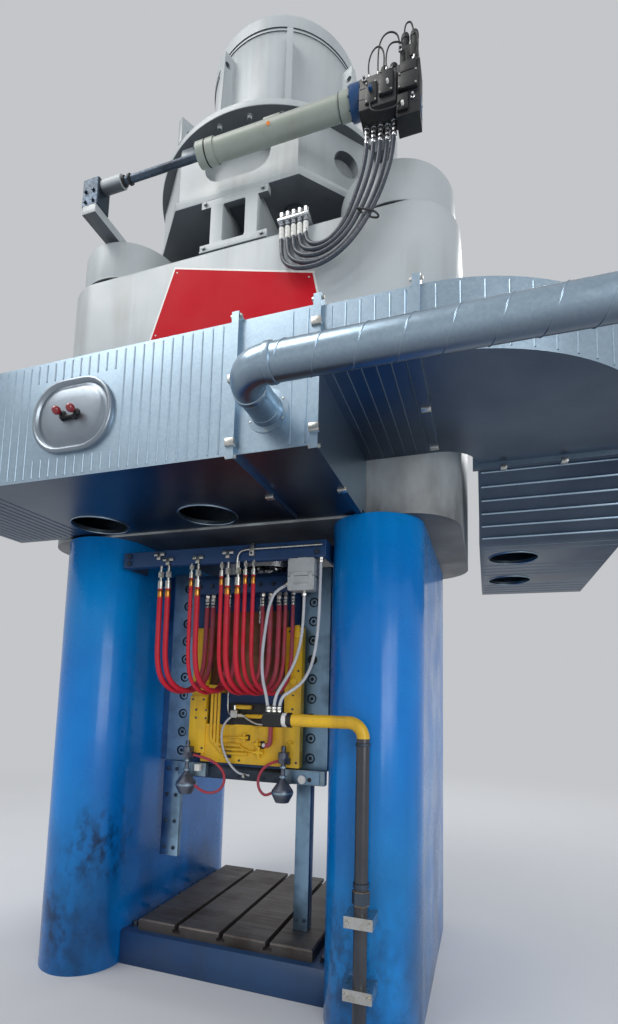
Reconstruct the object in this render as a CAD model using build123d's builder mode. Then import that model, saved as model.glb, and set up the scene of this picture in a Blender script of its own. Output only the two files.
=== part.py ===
from build123d import *
import os
from math import cos, pi, radians, sin, tan

# All sizes are in millimetres.
# X runs along the crown, Y from the operator's side to the back, Z up.
# The origin is the screw's axis at floor level.

# Bed and columns
opening_width = 1248        # clear width between the two columns
column_width = 484          # across each column, and so its nose's diameter
column_depth = 1670         # from the front nose to the back nose
bed_height = 180
bed_depth = 1180
bolster_thickness = 60
bolster_inset = 90          # from the column's inner face to the bolster's edge
bolster_chamfer = 8
t_slot_count = 3
t_slot_pitch = 280
t_slot_mouth = 28
t_slot_foot_width = 50
t_slot_foot_height = 20
t_slot_depth = 44

# Crown
crown_bottom = 2470
crown_height = 1735
crown_length = 2580
crown_depth = 1560
crown_corner = 300          # upright corners, seen from above
crown_top_round = 35
cap_radius = 335
cap_spacing = 1840          # between the two column caps' centre lines
cap_front_gap = 5           # from the crown's front face back to a cap's nose
cap_height = 265
cap_round = 25

# Slide and its guides
slide_top = 2300
slide_bottom = 1130
slide_body_width = 670
slide_body_depth = 800
wing_reach = 388            # from the middle out to a guide wing's edge
wing_half_depth = 272
guide_clearance = 6         # sliding gap, opened so that it stays a clear gap at every pose
guide_bottom = 1130
guide_top = 2330
gib_thickness = 72
gib_inner = 355             # from the middle out to a gib strip's inner edge
gib_outer = 540
gib_screw_x = 430
gib_screw_pitch = 115
gib_screw_first = 1197
gib_screw_count = 10
counterbore_radius = 30
counterbore_depth = 12
gib_chamfer = 6

# Screw
screw_radius = 160
screw_bore_clearance = 0.3
screw_bore_depth = 900
screw_foot_gap = 60         # from the screw's lower end to the bore's floor at rest
screw_collar_radius = 250
screw_collar_height = 90

# Tooling on the slide
foot_thickness = 80
plate_thickness = 40        # yellow spray plate on the slide's front
plate_left = -240
plate_right = 400
plate_bottom = 1150
plate_top = 1375
cover_left = -20            # small cover that stands up from the plate's upper edge
cover_width = 120
cover_top = 1500
side_block_left = -320
side_block_width = 112
side_block_bottom = 1200
side_block_top = 1540
side_strip_depth = 34       # the thinner strip above the side block, behind the hoses
side_strip_top = 1960
tall_block_left = 298
tall_block_width = 102
tall_block_top = 1955
block_proud = 12            # how far the yellow blocks stand before the spray plate
spray_pipe_radius = 9
spray_pipe_count = 3
spray_pipe_pitch = 24
spray_pipe_x = -170
spray_pipe_top = 1565
spray_pipe_drop = 60        # from the plate's lower edge up to the lowest pipe
spray_pipe_run = 200
pipe_block_height = 45
pipe_block_margin = 18
clamp_gap = 10              # between the clamps and the spray plate's lower edge
clamp_height = 80
clamp_depth = 40
left_clamp_left = -385
left_clamp_width = 185
right_clamp_left = 300
right_clamp_width = 250
damper_left_x = -298
damper_right_x = 318
damper_y_gap = 50           # from the clamps' front to the dampers' axis
damper_radius = 60
damper_neck_radius = 13
damper_foot_radius = 38
damper_bottom = 965
damper_height = 128
damper_rod_top = 1257
damper_nut_radius = 30
damper_nut_height = 50
damper_arm_width = 44
damper_arm_height = 30

# Hose manifold on the slide
manifold_left = -290
manifold_right = 400
manifold_depth = 110
manifold_bottom = 2160
manifold_height = 90

# Lower guide plates and the post
lower_plate_left = -545
lower_plate_width = 125
lower_plate_thickness = 30
lower_plate_bottom = 550
post_left = 352
post_width = 88

# Hose rail across the opening
rail_set_back = 65          # from the columns' noses back to the rail's front
rail_thickness = 50
rail_bottom = 2280
rail_height = 90
rail_arm_depth = 40         # how far a rail arm lies along the column's flat side
rail_arm_thickness = 20

# Red hoses between the rail and the slide
hose_diameter = 30
thin_hose_diameter = 22
hose_seat_gap = 0.3         # between a hose's cut end and the fitting it belongs to
stem_radius = 8
crimp_wall = 2
crimp_height = 45           # on a thick hose, and in proportion on a thin one
hose_nut_rise = 20
hose_nut_height = 33
route_rail_front = -770     # places for which the routes below are drawn
route_slide_front = -400
route_crown_front = -780
route_tee_y = -900

# Junction box and its conduits
box_left = 430
box_width = 137
box_depth = 90
box_bottom = 2106
box_height = 162
box_round = 10
box_lid_depth = 28
box_lid_proud = 4
box_hanger_width = 50
conduit_diameter = 16

# Service pipe on the right column
pipe_radius = 30
pipe_stand_off = 65         # from the column's nose to the pipe's axis
pipe_z = 1440
pipe_start_x = 465
pipe_drop_x = 866
tee_width = 90
tee_size = 70
tee_round = 10
pipe_bend = 70
pipe_foot = 126
pipe_fitting_radius = 40
pipe_fitting_height = 60
pipe_fitting_z = 640
pipe_clamp_width = 130
pipe_clamp_height = 50
pipe_clamp_wall = 20
upper_clamp_z = 576
lower_clamp_z = 276

# Drive on the crown
pedestal_height = 340
pedestal_set_back = 10      # from the crown's front to the pedestal's front wall
pedestal_wall = 40
pedestal_front_width = 440
pedestal_rim = 48           # height of the solid strips above and below the notches
window_width = 150
window_round = 14
notch_depth = 65            # from the front wall's side edge in to the upright's edge
drive_tube_radius = 300
plate_corner = 360          # how much each corner of the octagon cuts off a side
drive_plate_thickness = 55
housing_set_back = 15
housing_height = 380
housing_hole_radius = 85
housing_hole_shift = 70     # from the middle of the cut corner's face towards the right
plate_hole_radius = 80
plate_hole_x = 304
plate_hole_set_back = 244   # from the plate's front edge to the hole's middle
housing_slot_width = 440
housing_slot_height = 230
housing_slot_depth = 60
ring_radius = 870
ring_thickness = 45
lug_width = 110
lug_height = 170
lug_thickness = 40
lug_hole_radius = 18
lug_angle = -118
ring_round = 6
drum_radius = 540
drum_height = 940
drum_cap_height = 120
drum_cap_overhang = 8
drum_cap_round = 40
fin_count = 8
fin_reach = 120
fin_thickness = 40
fin_height = 830
fin_angle = -67             # the fin that points at the operator's walkway
fin_hole_radius = 22
fin_hole_drop = 90          # from a fin's top down to its hole
fin_root = 20               # how far a fin reaches into the drum
fin_taper = 0.7             # a fin's reach at its top, as a share of its reach at the bottom

# Long cylinder before the drive
cylinder_stand_off = 120    # from the crown's front to the cylinder's axis
cylinder_z = 4710
cylinder_radius = 59
cylinder_left = -168
cylinder_right = 753
collar_radius = 66
collar_length = 60
long_collar_length = 110
collar_groove = 6
end_flange_radius = 78
end_flange_length = 57
rod_radius = 22
rod_end = -708
rod_sleeve_radius = 40
rod_sleeve_length = 178
anchor_width = 120          # dark block at the rod's end
anchor_depth = 110
anchor_height = 180
anchor_rise = 30            # from the rod's axis up to the block's top
anchor_round = 10
anchor_overlap = 36         # how far the sleeve reaches into the block
arm_width = 100
arm_thickness = 60
arm_back = -350
arm_stand_depth = 200
valve_bracket_depth = 200

# Valve block over the right cap
valve_left = 810
valve_width = 190
valve_depth = 150
valve_height = 150          # from the cylinder's axis down to the block's underside
valve_rise = 35             # from the cylinder's axis up to the block's top
valve_round = 8
side_valve_width = 118      # second valve, against the first one's right side
side_valve_depth = 110
side_valve_bottom = 4480
side_valve_height = 300
pilot_width = 92            # pilot valve on top of the second valve
pilot_depth = 80
pilot_height = 120
solenoid_radius = 20
solenoid_length = 110
solenoid_spacing = 48

# Bulkhead of the drive hoses
bulkhead_left = 315
bulkhead_width = 185
bulkhead_depth = 140
bulkhead_thickness = 15
bulkhead_reach = 60         # how far the shelf stands before the crown's face
union_radius = 15
union_height = 80
union_count = 5
union_pitch = 36
union_inset = 18            # from the bulkhead's left edge to the first union
union_stand_off = 32        # from the crown's front to the unions' axes
drive_hose_diameter = 24

# Extraction ducts
duct_gap = 10               # between the crown's front and the front ducts
duct_clearance = 10         # from the columns' tops up to the ducts' underside
duct_depth = 775
duct_wall = 20
duct_height = 560
front_duct_left = -1400
front_duct_right = 480
drop_box_right = 835
link_duct_right = 1185
link_duct_rise = 280         # from the front duct's underside up to the link duct's
link_duct_height = 270
bend_inner = 190
side_slope_length = 480     # along the side duct, over which its underside comes down
side_duct_back = 1500
intake_radius = 150
intake_inset = 179          # from the duct's back to the intakes' middle
side_intake_inset = 202
front_intakes = (-640, 40)
side_intakes = (260, 940)
seam_reach = 25             # how far a duct flange stands proud of the sheet
seam_thickness = 30
hatch_x = -310
hatch_rise = 280            # from the ducts' underside up to the hatch's middle
hatch_width = 430
hatch_height = 340
hatch_proud = 22
hatch_rim = 26
hatch_rim_proud = 12
hatch_flat = 20             # straight part of the hatch's two upright sides
knob_radius = 20
knob_spacing = 75
knob_stem_radius = 8
knob_reach = 50
branch_radius = 62
branch_reach = 270          # from the duct's front to the branch pipe's long run
branch_bend = 120
branch_x = 620
branch_rise = 160           # from the ducts' underside up to the branch pipe's axis
branch_end_x = 2185
branch_collar = 10
hanger_width = 80
hanger_height = 80
hanger_places = (-900, -200, 650)

os.makedirs("parts", exist_ok=True)

# Places worked out from the sizes above
column_x = (opening_width + column_width) / 2
column_flat = (column_depth - column_width) / 2
bolster_top = bed_height + bolster_thickness
crown_top = crown_bottom + crown_height
crown_front = -crown_depth / 2
column_nose = -column_depth / 2
rail_front = column_nose + rail_set_back
pipe_y = column_nose - pipe_stand_off
pedestal_half = crown_depth / 2 - pedestal_set_back
plate_half = pedestal_half
cylinder_y = crown_front - cylinder_stand_off
union_y = crown_front - union_stand_off
duct_back = crown_front - duct_gap
duct_front = duct_back - duct_depth
branch_y = duct_front - branch_reach
intake_y = duct_back - intake_inset
duct_bottom = crown_bottom + duct_clearance
link_duct_bottom = duct_bottom + link_duct_rise
hatch_z = duct_bottom + hatch_rise
branch_z = duct_bottom + branch_rise
gib_front = -(wing_half_depth + guide_clearance + gib_thickness)
guide_block_inner = wing_reach + guide_clearance
slide_front = -slide_body_depth / 2
foot_bottom = slide_bottom - foot_thickness
plate_front = slide_front - plate_thickness
rail_back = rail_front + rail_thickness
rail_middle = (rail_front + rail_back) / 2
rail_arm_back = rail_arm_depth - column_flat
pedestal_top = crown_top + pedestal_height
drive_plate_top = pedestal_top + drive_plate_thickness
housing_half = plate_half - housing_set_back
housing_top = drive_plate_top + housing_height
ring_top = housing_top + ring_thickness
drum_top = ring_top + drum_height
duct_top = duct_bottom + duct_height
bend_centre_x = link_duct_right
bend_centre_y = duct_back + bend_inner
bend_outer = bend_inner + duct_depth
side_duct_left = bend_centre_x + bend_inner
side_duct_right = bend_centre_x + bend_outer


def octagon(half, corner):
    """The corner points of a square plate whose four corners are cut at 45 degrees."""
    short = half - corner
    return [(-short, -half), (short, -half), (half, -short), (half, short),
            (short, half), (-short, half), (-half, short), (-half, -short)]


# Bed and bolster plate
with BuildPart() as bed:
    with BuildSketch():
        Rectangle(opening_width, bed_depth)
    extrude(amount=bed_height)
bed.part.label = "bed"
export_step(bed.part, "parts/bed.step")

with BuildPart() as bolster_plate:
    with BuildSketch(Plane.XY.offset(bed_height)):
        Rectangle(opening_width - 2 * bolster_inset, bed_depth - bolster_inset)
    extrude(amount=bolster_thickness)
    chamfer(bolster_plate.faces().sort_by(Axis.Z)[-1].edges(), bolster_chamfer)
    slot_spots = [((count - (t_slot_count - 1) / 2) * t_slot_pitch, 0) for count in range(t_slot_count)]
    with BuildSketch(Plane.XY.offset(bolster_top)):
        with Locations(*slot_spots):
            Rectangle(t_slot_mouth, bed_depth)
    extrude(amount=-t_slot_depth, mode=Mode.SUBTRACT)
    with BuildSketch(Plane.XY.offset(bolster_top - t_slot_depth)):
        with Locations(*slot_spots):
            Rectangle(t_slot_foot_width, bed_depth)
    extrude(amount=t_slot_foot_height, mode=Mode.SUBTRACT)
bolster_plate.part.label = "bolster_plate"
export_step(bolster_plate.part, "parts/bolster_plate.step")

# Columns, round at the front and at the back
for side, column_name in ((-1, "left_column"), (1, "right_column")):
    with BuildPart() as column:
        with BuildSketch():
            with Locations((side * column_x, 0)):
                SlotOverall(column_depth, column_width, rotation=90)
        extrude(amount=crown_bottom)
    column.part.label = column_name
    export_step(column.part, f"parts/{column_name}.step")

# Crown with rounded upright corners
with BuildPart() as crown:
    with BuildSketch(Plane.XY.offset(crown_bottom)):
        RectangleRounded(crown_length, crown_depth, crown_corner)
    extrude(amount=crown_height)
    fillet(crown.faces().sort_by(Axis.Z)[-1].edges(), crown_top_round)
crown.part.label = "crown"
export_step(crown.part, "parts/crown.step")

# Two caps over the column tops
with BuildPart() as column_caps:
    with BuildSketch(Plane.XY.offset(crown_top)):
        with Locations((-cap_spacing / 2, 0), (cap_spacing / 2, 0)):
            SlotOverall(crown_depth - 2 * cap_front_gap, 2 * cap_radius, rotation=90)
    extrude(amount=cap_height)
    fillet(column_caps.faces().sort_by(Axis.Z)[-2:].edges(), cap_round)
column_caps.part.label = "column_caps"
export_step(column_caps.part, "parts/column_caps.step")

# Guide blocks on the columns' inner faces
guide_block_width = opening_width / 2 - guide_block_inner
guide_block_depth = 2 * (wing_half_depth + guide_clearance)
with BuildPart() as guide_blocks:
    with BuildSketch(Plane.XY.offset(guide_bottom)):
        for side in (-1, 1):
            with Locations((side * (guide_block_inner + guide_block_width / 2), 0)):
                Rectangle(guide_block_width, guide_block_depth)
    extrude(amount=guide_top - guide_bottom)
guide_blocks.part.label = "guide_blocks"
export_step(guide_blocks.part, "parts/guide_blocks.step")

# Gib strips before and behind the slide's wings, held by socket screws in counterbores
gib_width = gib_outer - gib_inner
gib_middle = (gib_outer + gib_inner) / 2
for gib_name, face_side in (("front_gibs", -1), ("rear_gibs", 1)):
    gib_face = Plane.XZ.offset(face_side * gib_front)
    with BuildPart() as gibs:
        with BuildSketch(gib_face):
            for side in (-1, 1):
                with Locations((side * gib_middle, (guide_bottom + guide_top) / 2)):
                    Rectangle(gib_width, guide_top - guide_bottom)
        extrude(amount=face_side * gib_thickness)
        face_y = -face_side * gib_front
        chamfer(gibs.faces().filter_by_position(Axis.Y, face_y - 1, face_y + 1).edges(), gib_chamfer)
        with BuildSketch(gib_face):
            for side in (-1, 1):
                for row in range(gib_screw_count):
                    with Locations((side * gib_screw_x, gib_screw_first + row * gib_screw_pitch)):
                        Circle(counterbore_radius)
        extrude(amount=face_side * counterbore_depth, mode=Mode.SUBTRACT)
    gibs.part.label = gib_name
    export_step(gibs.part, f"parts/{gib_name}.step")

# Slide: a body between the gibs, a wing on each side, and the screw's bore from above
screw_bottom = slide_top - screw_bore_depth + screw_foot_gap
with BuildPart() as slide:
    with BuildSketch(Plane.XY.offset(slide_bottom)):
        Rectangle(slide_body_width, slide_body_depth)
        Rectangle(2 * wing_reach, 2 * wing_half_depth)
    extrude(amount=slide_top - slide_bottom)
    with BuildSketch(Plane.XY.offset(slide_top)):
        Circle(screw_radius + screw_bore_clearance)
    extrude(amount=-screw_bore_depth, mode=Mode.SUBTRACT)
slide.part.label = "slide"
export_step(slide.part, "parts/slide.step")

# Screw, fixed to the crown by its collar
with BuildPart() as screw:
    with BuildSketch(Plane.XY.offset(screw_bottom)):
        Circle(screw_radius)
    extrude(amount=crown_bottom - screw_bottom)
    with BuildSketch(Plane.XY.offset(crown_bottom - screw_collar_height)):
        Circle(screw_collar_radius)
    extrude(amount=screw_collar_height)
screw.part.label = "screw"
export_step(screw.part, "parts/screw.step")

# Foot plate under the slide, which carries the upper die
with BuildPart() as slide_foot:
    with BuildSketch(Plane.XY.offset(foot_bottom)):
        Rectangle(slide_body_width, slide_body_depth)
    extrude(amount=foot_thickness)
slide_foot.part.label = "slide_foot"
export_step(slide_foot.part, "parts/slide_foot.step")

# Yellow spray plate on the slide's front, with a cover, a side block under a thin strip, and a tall block
upright_pieces = (
    (plate_left, plate_right - plate_left, plate_bottom, plate_top, plate_thickness),
    (cover_left, cover_width, plate_top, cover_top, plate_thickness),
    (side_block_left, side_block_width, side_block_bottom, side_block_top, plate_thickness + block_proud),
    (side_block_left, side_block_width, side_block_top, side_strip_top, side_strip_depth),
    (tall_block_left, tall_block_width, plate_bottom, tall_block_top, plate_thickness + block_proud),
)
with BuildPart() as spray_plate:
    for left, width, bottom, top, depth in upright_pieces:
        with BuildSketch(Plane.XZ.offset(-slide_front)):
            with Locations((left + width / 2, (bottom + top) / 2)):
                Rectangle(width, top - bottom)
        extrude(amount=depth)
spray_plate.part.label = "spray_plate"
export_step(spray_plate.part, "parts/spray_plate.step")

# Yellow spray pipes, which come down out of a block and turn to the right
pipe_y_line = plate_front - spray_pipe_radius
last_pipe = spray_pipe_count - 1
with BuildPart() as spray_pipes:
    for count in range(spray_pipe_count):
        pipe_x = spray_pipe_x + count * spray_pipe_pitch
        turn_z = plate_bottom + spray_pipe_drop + (last_pipe - count) * spray_pipe_pitch
        with BuildLine() as pipe_line:
            FilletPolyline(
                (pipe_x, pipe_y_line, spray_pipe_top),
                (pipe_x, pipe_y_line, turn_z),
                (pipe_x + spray_pipe_run, pipe_y_line, turn_z),
                radius=2 * spray_pipe_pitch,
            )
        with BuildSketch(Plane((pipe_x, pipe_y_line, spray_pipe_top), z_dir=(0, 0, -1))):
            Circle(spray_pipe_radius)
        sweep(path=pipe_line.wires()[0])
    block_front = pipe_y_line - spray_pipe_radius - pipe_block_margin / 2
    with BuildSketch(Plane.XY.offset(spray_pipe_top)):
        with Locations((spray_pipe_x + last_pipe * spray_pipe_pitch / 2, (block_front + slide_front) / 2)):
            Rectangle(last_pipe * spray_pipe_pitch + 2 * pipe_block_margin, slide_front - block_front)
    extrude(amount=pipe_block_height)
spray_pipes.part.label = "spray_pipes"
export_step(spray_pipes.part, "parts/spray_pipes.step")

# Clamp blocks on the front of the slide's foot
clamp_top = plate_bottom - clamp_gap
clamp_spots = ((left_clamp_left, left_clamp_width), (right_clamp_left, right_clamp_width))
with BuildPart() as die_clamps:
    with BuildSketch(Plane.XZ.offset(-slide_front)):
        for clamp_left, clamp_width in clamp_spots:
            with Locations((clamp_left + clamp_width / 2, clamp_top - clamp_height / 2)):
                Rectangle(clamp_width, clamp_height)
    extrude(amount=clamp_depth)
die_clamps.part.label = "die_clamps"
export_step(die_clamps.part, "parts/die_clamps.step")

# Bell-shaped dampers, each hung by a rod and a nut from an arm on the yellow blocks
damper_y = slide_front - clamp_depth - damper_y_gap
damper_top = damper_bottom + damper_height
arm_root = slide_front - plate_thickness - block_proud
arm_bottom = damper_rod_top - damper_nut_height
with BuildPart() as dampers:
    for damper_x in (damper_left_x, damper_right_x):
        with BuildSketch(Plane.XZ.offset(-damper_y)):
            with BuildLine():
                Polyline(
                    (damper_x, damper_bottom),
                    (damper_x + damper_foot_radius, damper_bottom),
                    (damper_x + damper_radius, damper_bottom + damper_height / 3),
                    (damper_x + damper_radius, damper_bottom + damper_height / 2),
                    (damper_x + damper_foot_radius, damper_bottom + damper_height * 3 / 4),
                    (damper_x + damper_neck_radius, damper_top),
                    (damper_x + damper_neck_radius, damper_rod_top),
                    (damper_x, damper_rod_top),
                    close=True,
                )
            make_face()
        revolve(axis=Axis((damper_x, damper_y, 0), (0, 0, 1)))
        with BuildSketch(Plane.XY.offset(arm_bottom)):
            with Locations((damper_x, (damper_y + arm_root) / 2)):
                Rectangle(damper_arm_width, arm_root - damper_y)
            with Locations((damper_x, damper_y)):
                Circle(damper_nut_radius)
        extrude(amount=damper_arm_height)
        with BuildSketch(Plane.XY.offset(arm_bottom - damper_arm_height)):
            with Locations((damper_x, damper_y)):
                RegularPolygon(damper_nut_radius, 6)
        extrude(amount=damper_arm_height)
dampers.part.label = "dampers"
export_step(dampers.part, "parts/dampers.step")

# Manifold on the slide that takes the hoses
with BuildPart() as slide_manifold:
    with BuildSketch(Plane.XZ.offset(-slide_front)):
        with Locations(((manifold_left + manifold_right) / 2, manifold_bottom + manifold_height / 2)):
            Rectangle(manifold_right - manifold_left, manifold_height)
    extrude(amount=manifold_depth)
slide_manifold.part.label = "slide_manifold"
export_step(slide_manifold.part, "parts/slide_manifold.step")

# Lower guide plate on the left, and on the right a post that stands on the bolster
with BuildPart() as lower_guides:
    with BuildSketch(Plane.XZ.offset(-gib_front)):
        with Locations((lower_plate_left + lower_plate_width / 2, (lower_plate_bottom + guide_bottom) / 2)):
            Rectangle(lower_plate_width, guide_bottom - lower_plate_bottom)
    extrude(amount=-lower_plate_thickness)
    with BuildSketch(Plane.XY.offset(bolster_top)):
        with Locations((post_left + post_width / 2, gib_front + gib_thickness / 2)):
            Rectangle(post_width, gib_thickness)
    extrude(amount=guide_bottom - bolster_top)
lower_guides.part.label = "lower_guides"
export_step(lower_guides.part, "parts/lower_guides.step")

# Hose rail across the opening, with an arm along each column's flat side
rail_arm_x = (opening_width - rail_arm_thickness) / 2
with BuildPart() as hose_rail:
    with BuildSketch(Plane.XY.offset(rail_bottom)):
        with Locations((0, (rail_front + rail_back) / 2)):
            Rectangle(opening_width, rail_thickness)
        for side in (-1, 1):
            with Locations((side * rail_arm_x, (rail_back + rail_arm_back) / 2)):
                Rectangle(rail_arm_thickness, rail_arm_back - rail_back)
    extrude(amount=rail_height)
hose_rail.part.label = "hose_rail"
export_step(hose_rail.part, "parts/hose_rail.step")

# Routes of the red hoses, from the rail down in a loop and up to the slide's manifold
red_routes = {
    "red_hose_1": (hose_diameter, [
        (-363, -765, 2145), (-363, -765, 1960), (-359, -763, 1668), (-322, -676, 1567),
        (-266, -553, 1565), (-230, -464, 1664), (-226, -460, 1910), (-226, -460, 2160)]),
    "red_hose_2": (hose_diameter, [
        (-313, -765, 2145), (-313, -765, 1962), (-309, -763, 1672), (-275, -675, 1571),
        (-222, -552, 1570), (-189, -464, 1670), (-185, -460, 1914), (-185, -460, 2160)]),
    "red_hose_3": (thin_hose_diameter, [
        (-164, -765, 2200), (-164, -765, 1950), (-161, -763, 1660), (-138, -674, 1561),
        (-102, -551, 1560), (-80, -464, 1660), (-77, -460, 1908), (-77, -460, 2160)]),
    "red_hose_4": (hose_diameter, [
        (-121, -765, 2145), (-121, -765, 1964), (-117, -763, 1674), (-92, -675, 1573),
        (-52, -552, 1572), (-26, -464, 1670), (-23, -460, 1912), (-23, -460, 2160)]),
    "red_hose_5": (thin_hose_diameter, [
        (26, -765, 2200), (26, -765, 1952), (30, -763, 1664), (62, -674, 1563),
        (112, -551, 1561), (143, -464, 1661), (146, -460, 1906), (146, -460, 2160)]),
    "red_hose_6": (hose_diameter, [
        (66, -765, 2145), (66, -765, 1960), (71, -763, 1670), (105, -675, 1569),
        (159, -552, 1568), (194, -464, 1667), (197, -460, 1912), (197, -460, 2160)]),
    "red_hose_7": (hose_diameter, [
        (127, -765, 2145), (127, -765, 1962), (131, -763, 1667), (165, -676, 1566),
        (217, -556, 1565), (251, -470, 1664), (254, -466, 1910), (254, -466, 2160)]),
    "red_hose_8": (thin_hose_diameter, [
        (171, -765, 2200), (171, -765, 1950), (174, -763, 1672), (208, -677, 1571),
        (260, -562, 1570), (294, -478, 1669), (297, -474, 1908), (297, -474, 2160)]),
    "red_hose_9": (thin_hose_diameter, [
        (219, -765, 2200), (219, -765, 1952), (222, -763, 1666), (256, -677, 1566),
        (308, -562, 1564), (341, -478, 1663), (344, -474, 1906), (344, -474, 2160)]),
}

# Routes of the drive hoses, from the bulkhead down in a loop and up to the valve block
drive_routes = {
    "drive_hose_1": (drive_hose_diameter, [
        (333, -812, 4190), (333, -812, 4060), (362, -846, 3930), (462, -876, 3846), (604, -884, 3832),
        (748, -886, 3908), (868, -888, 4068), (946, -888, 4250), (979, -888, 4410), (979, -888, 4560)]),
    "drive_hose_2": (drive_hose_diameter, [
        (369, -812, 4190), (369, -812, 4070), (398, -842, 3956), (486, -860, 3884), (606, -864, 3874),
        (734, -866, 3944), (842, -868, 4096), (914, -872, 4270), (942, -876, 4415), (942, -876, 4560)]),
    "drive_hose_3": (drive_hose_diameter, [
        (405, -812, 4190), (405, -812, 4080), (432, -842, 3982), (508, -860, 3922), (612, -866, 3916),
        (720, -868, 3980), (814, -870, 4122), (880, -876, 4285), (906, -882, 4420), (906, -882, 4560)]),
    "drive_hose_4": (drive_hose_diameter, [
        (441, -812, 4190), (441, -812, 4090), (466, -836, 4008), (532, -852, 3960), (618, -858, 3958),
        (708, -862, 4018), (788, -868, 4150), (846, -876, 4300), (870, -884, 4425), (870, -884, 4560)]),
    "drive_hose_5": (drive_hose_diameter, [
        (477, -812, 4190), (477, -812, 4105), (500, -830, 4034), (556, -844, 3992), (628, -850, 3996),
        (698, -856, 4056), (762, -866, 4178), (812, -876, 4315), (834, -886, 4430), (834, -886, 4560)]),
}

# Routes of the conduits, from the junction box and the rail down to the service pipe's tee
conduit_routes = {
    "conduit_1": (conduit_diameter, [
        (430, -745, 2150), (350, -748, 2124), (314, -760, 2040), (307, -785, 1900), (312, -828, 1760),
        (336, -868, 1640), (374, -896, 1555), (390, -900, 1475)]),
    "conduit_2": (conduit_diameter, [
        (505, -745, 2106), (505, -745, 1960), (500, -773, 1810), (478, -818, 1695), (444, -868, 1610),
        (418, -900, 1542), (418, -900, 1475)]),
    "conduit_3": (conduit_diameter, [
        (592, -745, 2280), (592, -745, 2100), (590, -757, 1890), (577, -787, 1730), (547, -835, 1630),
        (501, -878, 1582), (446, -900, 1545), (446, -900, 1475)]),
}


def arc_radii(points):
    """Each corner's radius: 0.45 of its shorter run, over the tangent of half its turn."""
    radii = []
    for before, corner, after in zip(points, points[1:], points[2:]):
        run_in = Vector(corner) - Vector(before)
        run_out = Vector(after) - Vector(corner)
        turn = run_in.get_angle(run_out)
        radii.append(0.45 * min(run_in.length, run_out.length) / tan(radians(turn / 2)))
    return radii


def follow(route, start_move, end_move):
    """A route whose first point moves by start_move in Y, its last by end_move, and the rest in between."""
    last = len(route) - 1
    moves = [start_move + (end_move - start_move) * count / last for count in range(last + 1)]
    return [(x, y + move, z) for (x, y, z), move in zip(route, moves)]


# The routes are drawn for these places, and follow the pieces that they join when those move
rail_move = rail_front - route_rail_front
slide_move = slide_front - route_slide_front
crown_move = crown_front - route_crown_front
tee_move = pipe_y - route_tee_y
red_routes = {
    name: (width, follow(route, rail_move, slide_move)) for name, (width, route) in red_routes.items()
}
drive_routes = {
    name: (width, follow(route, crown_move, crown_move)) for name, (width, route) in drive_routes.items()
}
conduit_routes = {
    name: (width, follow(route, rail_move, tee_move)) for name, (width, route) in conduit_routes.items()
}

for hose_name, (diameter, route) in (red_routes | drive_routes | conduit_routes).items():
    radii = arc_radii(route)
    with BuildPart() as hose:
        with BuildLine() as hose_line:
            FilletPolyline(*route, radius=radii)
        with BuildSketch(Plane(route[0], z_dir=Vector(route[1]) - Vector(route[0]))):
            Circle(diameter / 2)
        sweep(path=hose_line.wires()[0])
    hose_length = hose_line.wires()[0].length
    section = pi * diameter ** 2 / 4
    print(hose_name, "length", round(hose_length), "tightest", round(min(radii)),
          "volume ratio", round(hose.part.volume / (section * hose_length), 4))
    hose.part.label = hose_name
    export_step(hose.part, f"parts/{hose_name}.step")

# Stems with a nut and a crimp that hang from the rail, one above each red hose
with BuildPart() as hose_fittings:
    for diameter, route in red_routes.values():
        top_x, top_y, top_z = route[0]
        share = diameter / hose_diameter
        crimp_bottom = top_z + hose_seat_gap
        crimp_top = crimp_bottom + crimp_height * share
        with BuildSketch(Plane.XY.offset(crimp_bottom)):
            with Locations((top_x, top_y)):
                Circle(diameter / 2 + crimp_wall)
        extrude(amount=crimp_top - crimp_bottom)
        with BuildSketch(Plane.XY.offset(crimp_top)):
            with Locations((top_x, top_y)):
                Circle(stem_radius * share)
        extrude(amount=rail_bottom - crimp_top)
        with BuildSketch(Plane.XY.offset(crimp_top + hose_nut_rise * share)):
            with Locations((top_x, top_y)):
                RegularPolygon(diameter / 2 + crimp_wall, 6)
        extrude(amount=hose_nut_height * share)
hose_fittings.part.label = "hose_fittings"
export_step(hose_fittings.part, "parts/hose_fittings.step")

# Junction box hung on the rail
with BuildPart() as junction_box:
    with BuildSketch(Plane.XZ.offset(-rail_middle - box_depth / 2)):
        with Locations((box_left + box_width / 2, box_bottom + box_height / 2)):
            RectangleRounded(box_width, box_height, box_round)
    extrude(amount=box_depth)
    with BuildSketch(Plane.XZ.offset(-rail_middle + box_depth / 2)):
        with Locations((box_left + box_width / 2, box_bottom + box_height / 2)):
            RectangleRounded(box_width + 2 * box_lid_proud, box_height + 2 * box_lid_proud, box_round)
    extrude(amount=-box_lid_depth)
    with BuildSketch(Plane.XY.offset(box_bottom + box_height)):
        with Locations((box_left + box_width / 2, rail_middle)):
            Rectangle(box_hanger_width, rail_thickness)
    extrude(amount=rail_bottom - box_bottom - box_height)
junction_box.part.label = "junction_box"
export_step(junction_box.part, "parts/junction_box.step")

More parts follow.
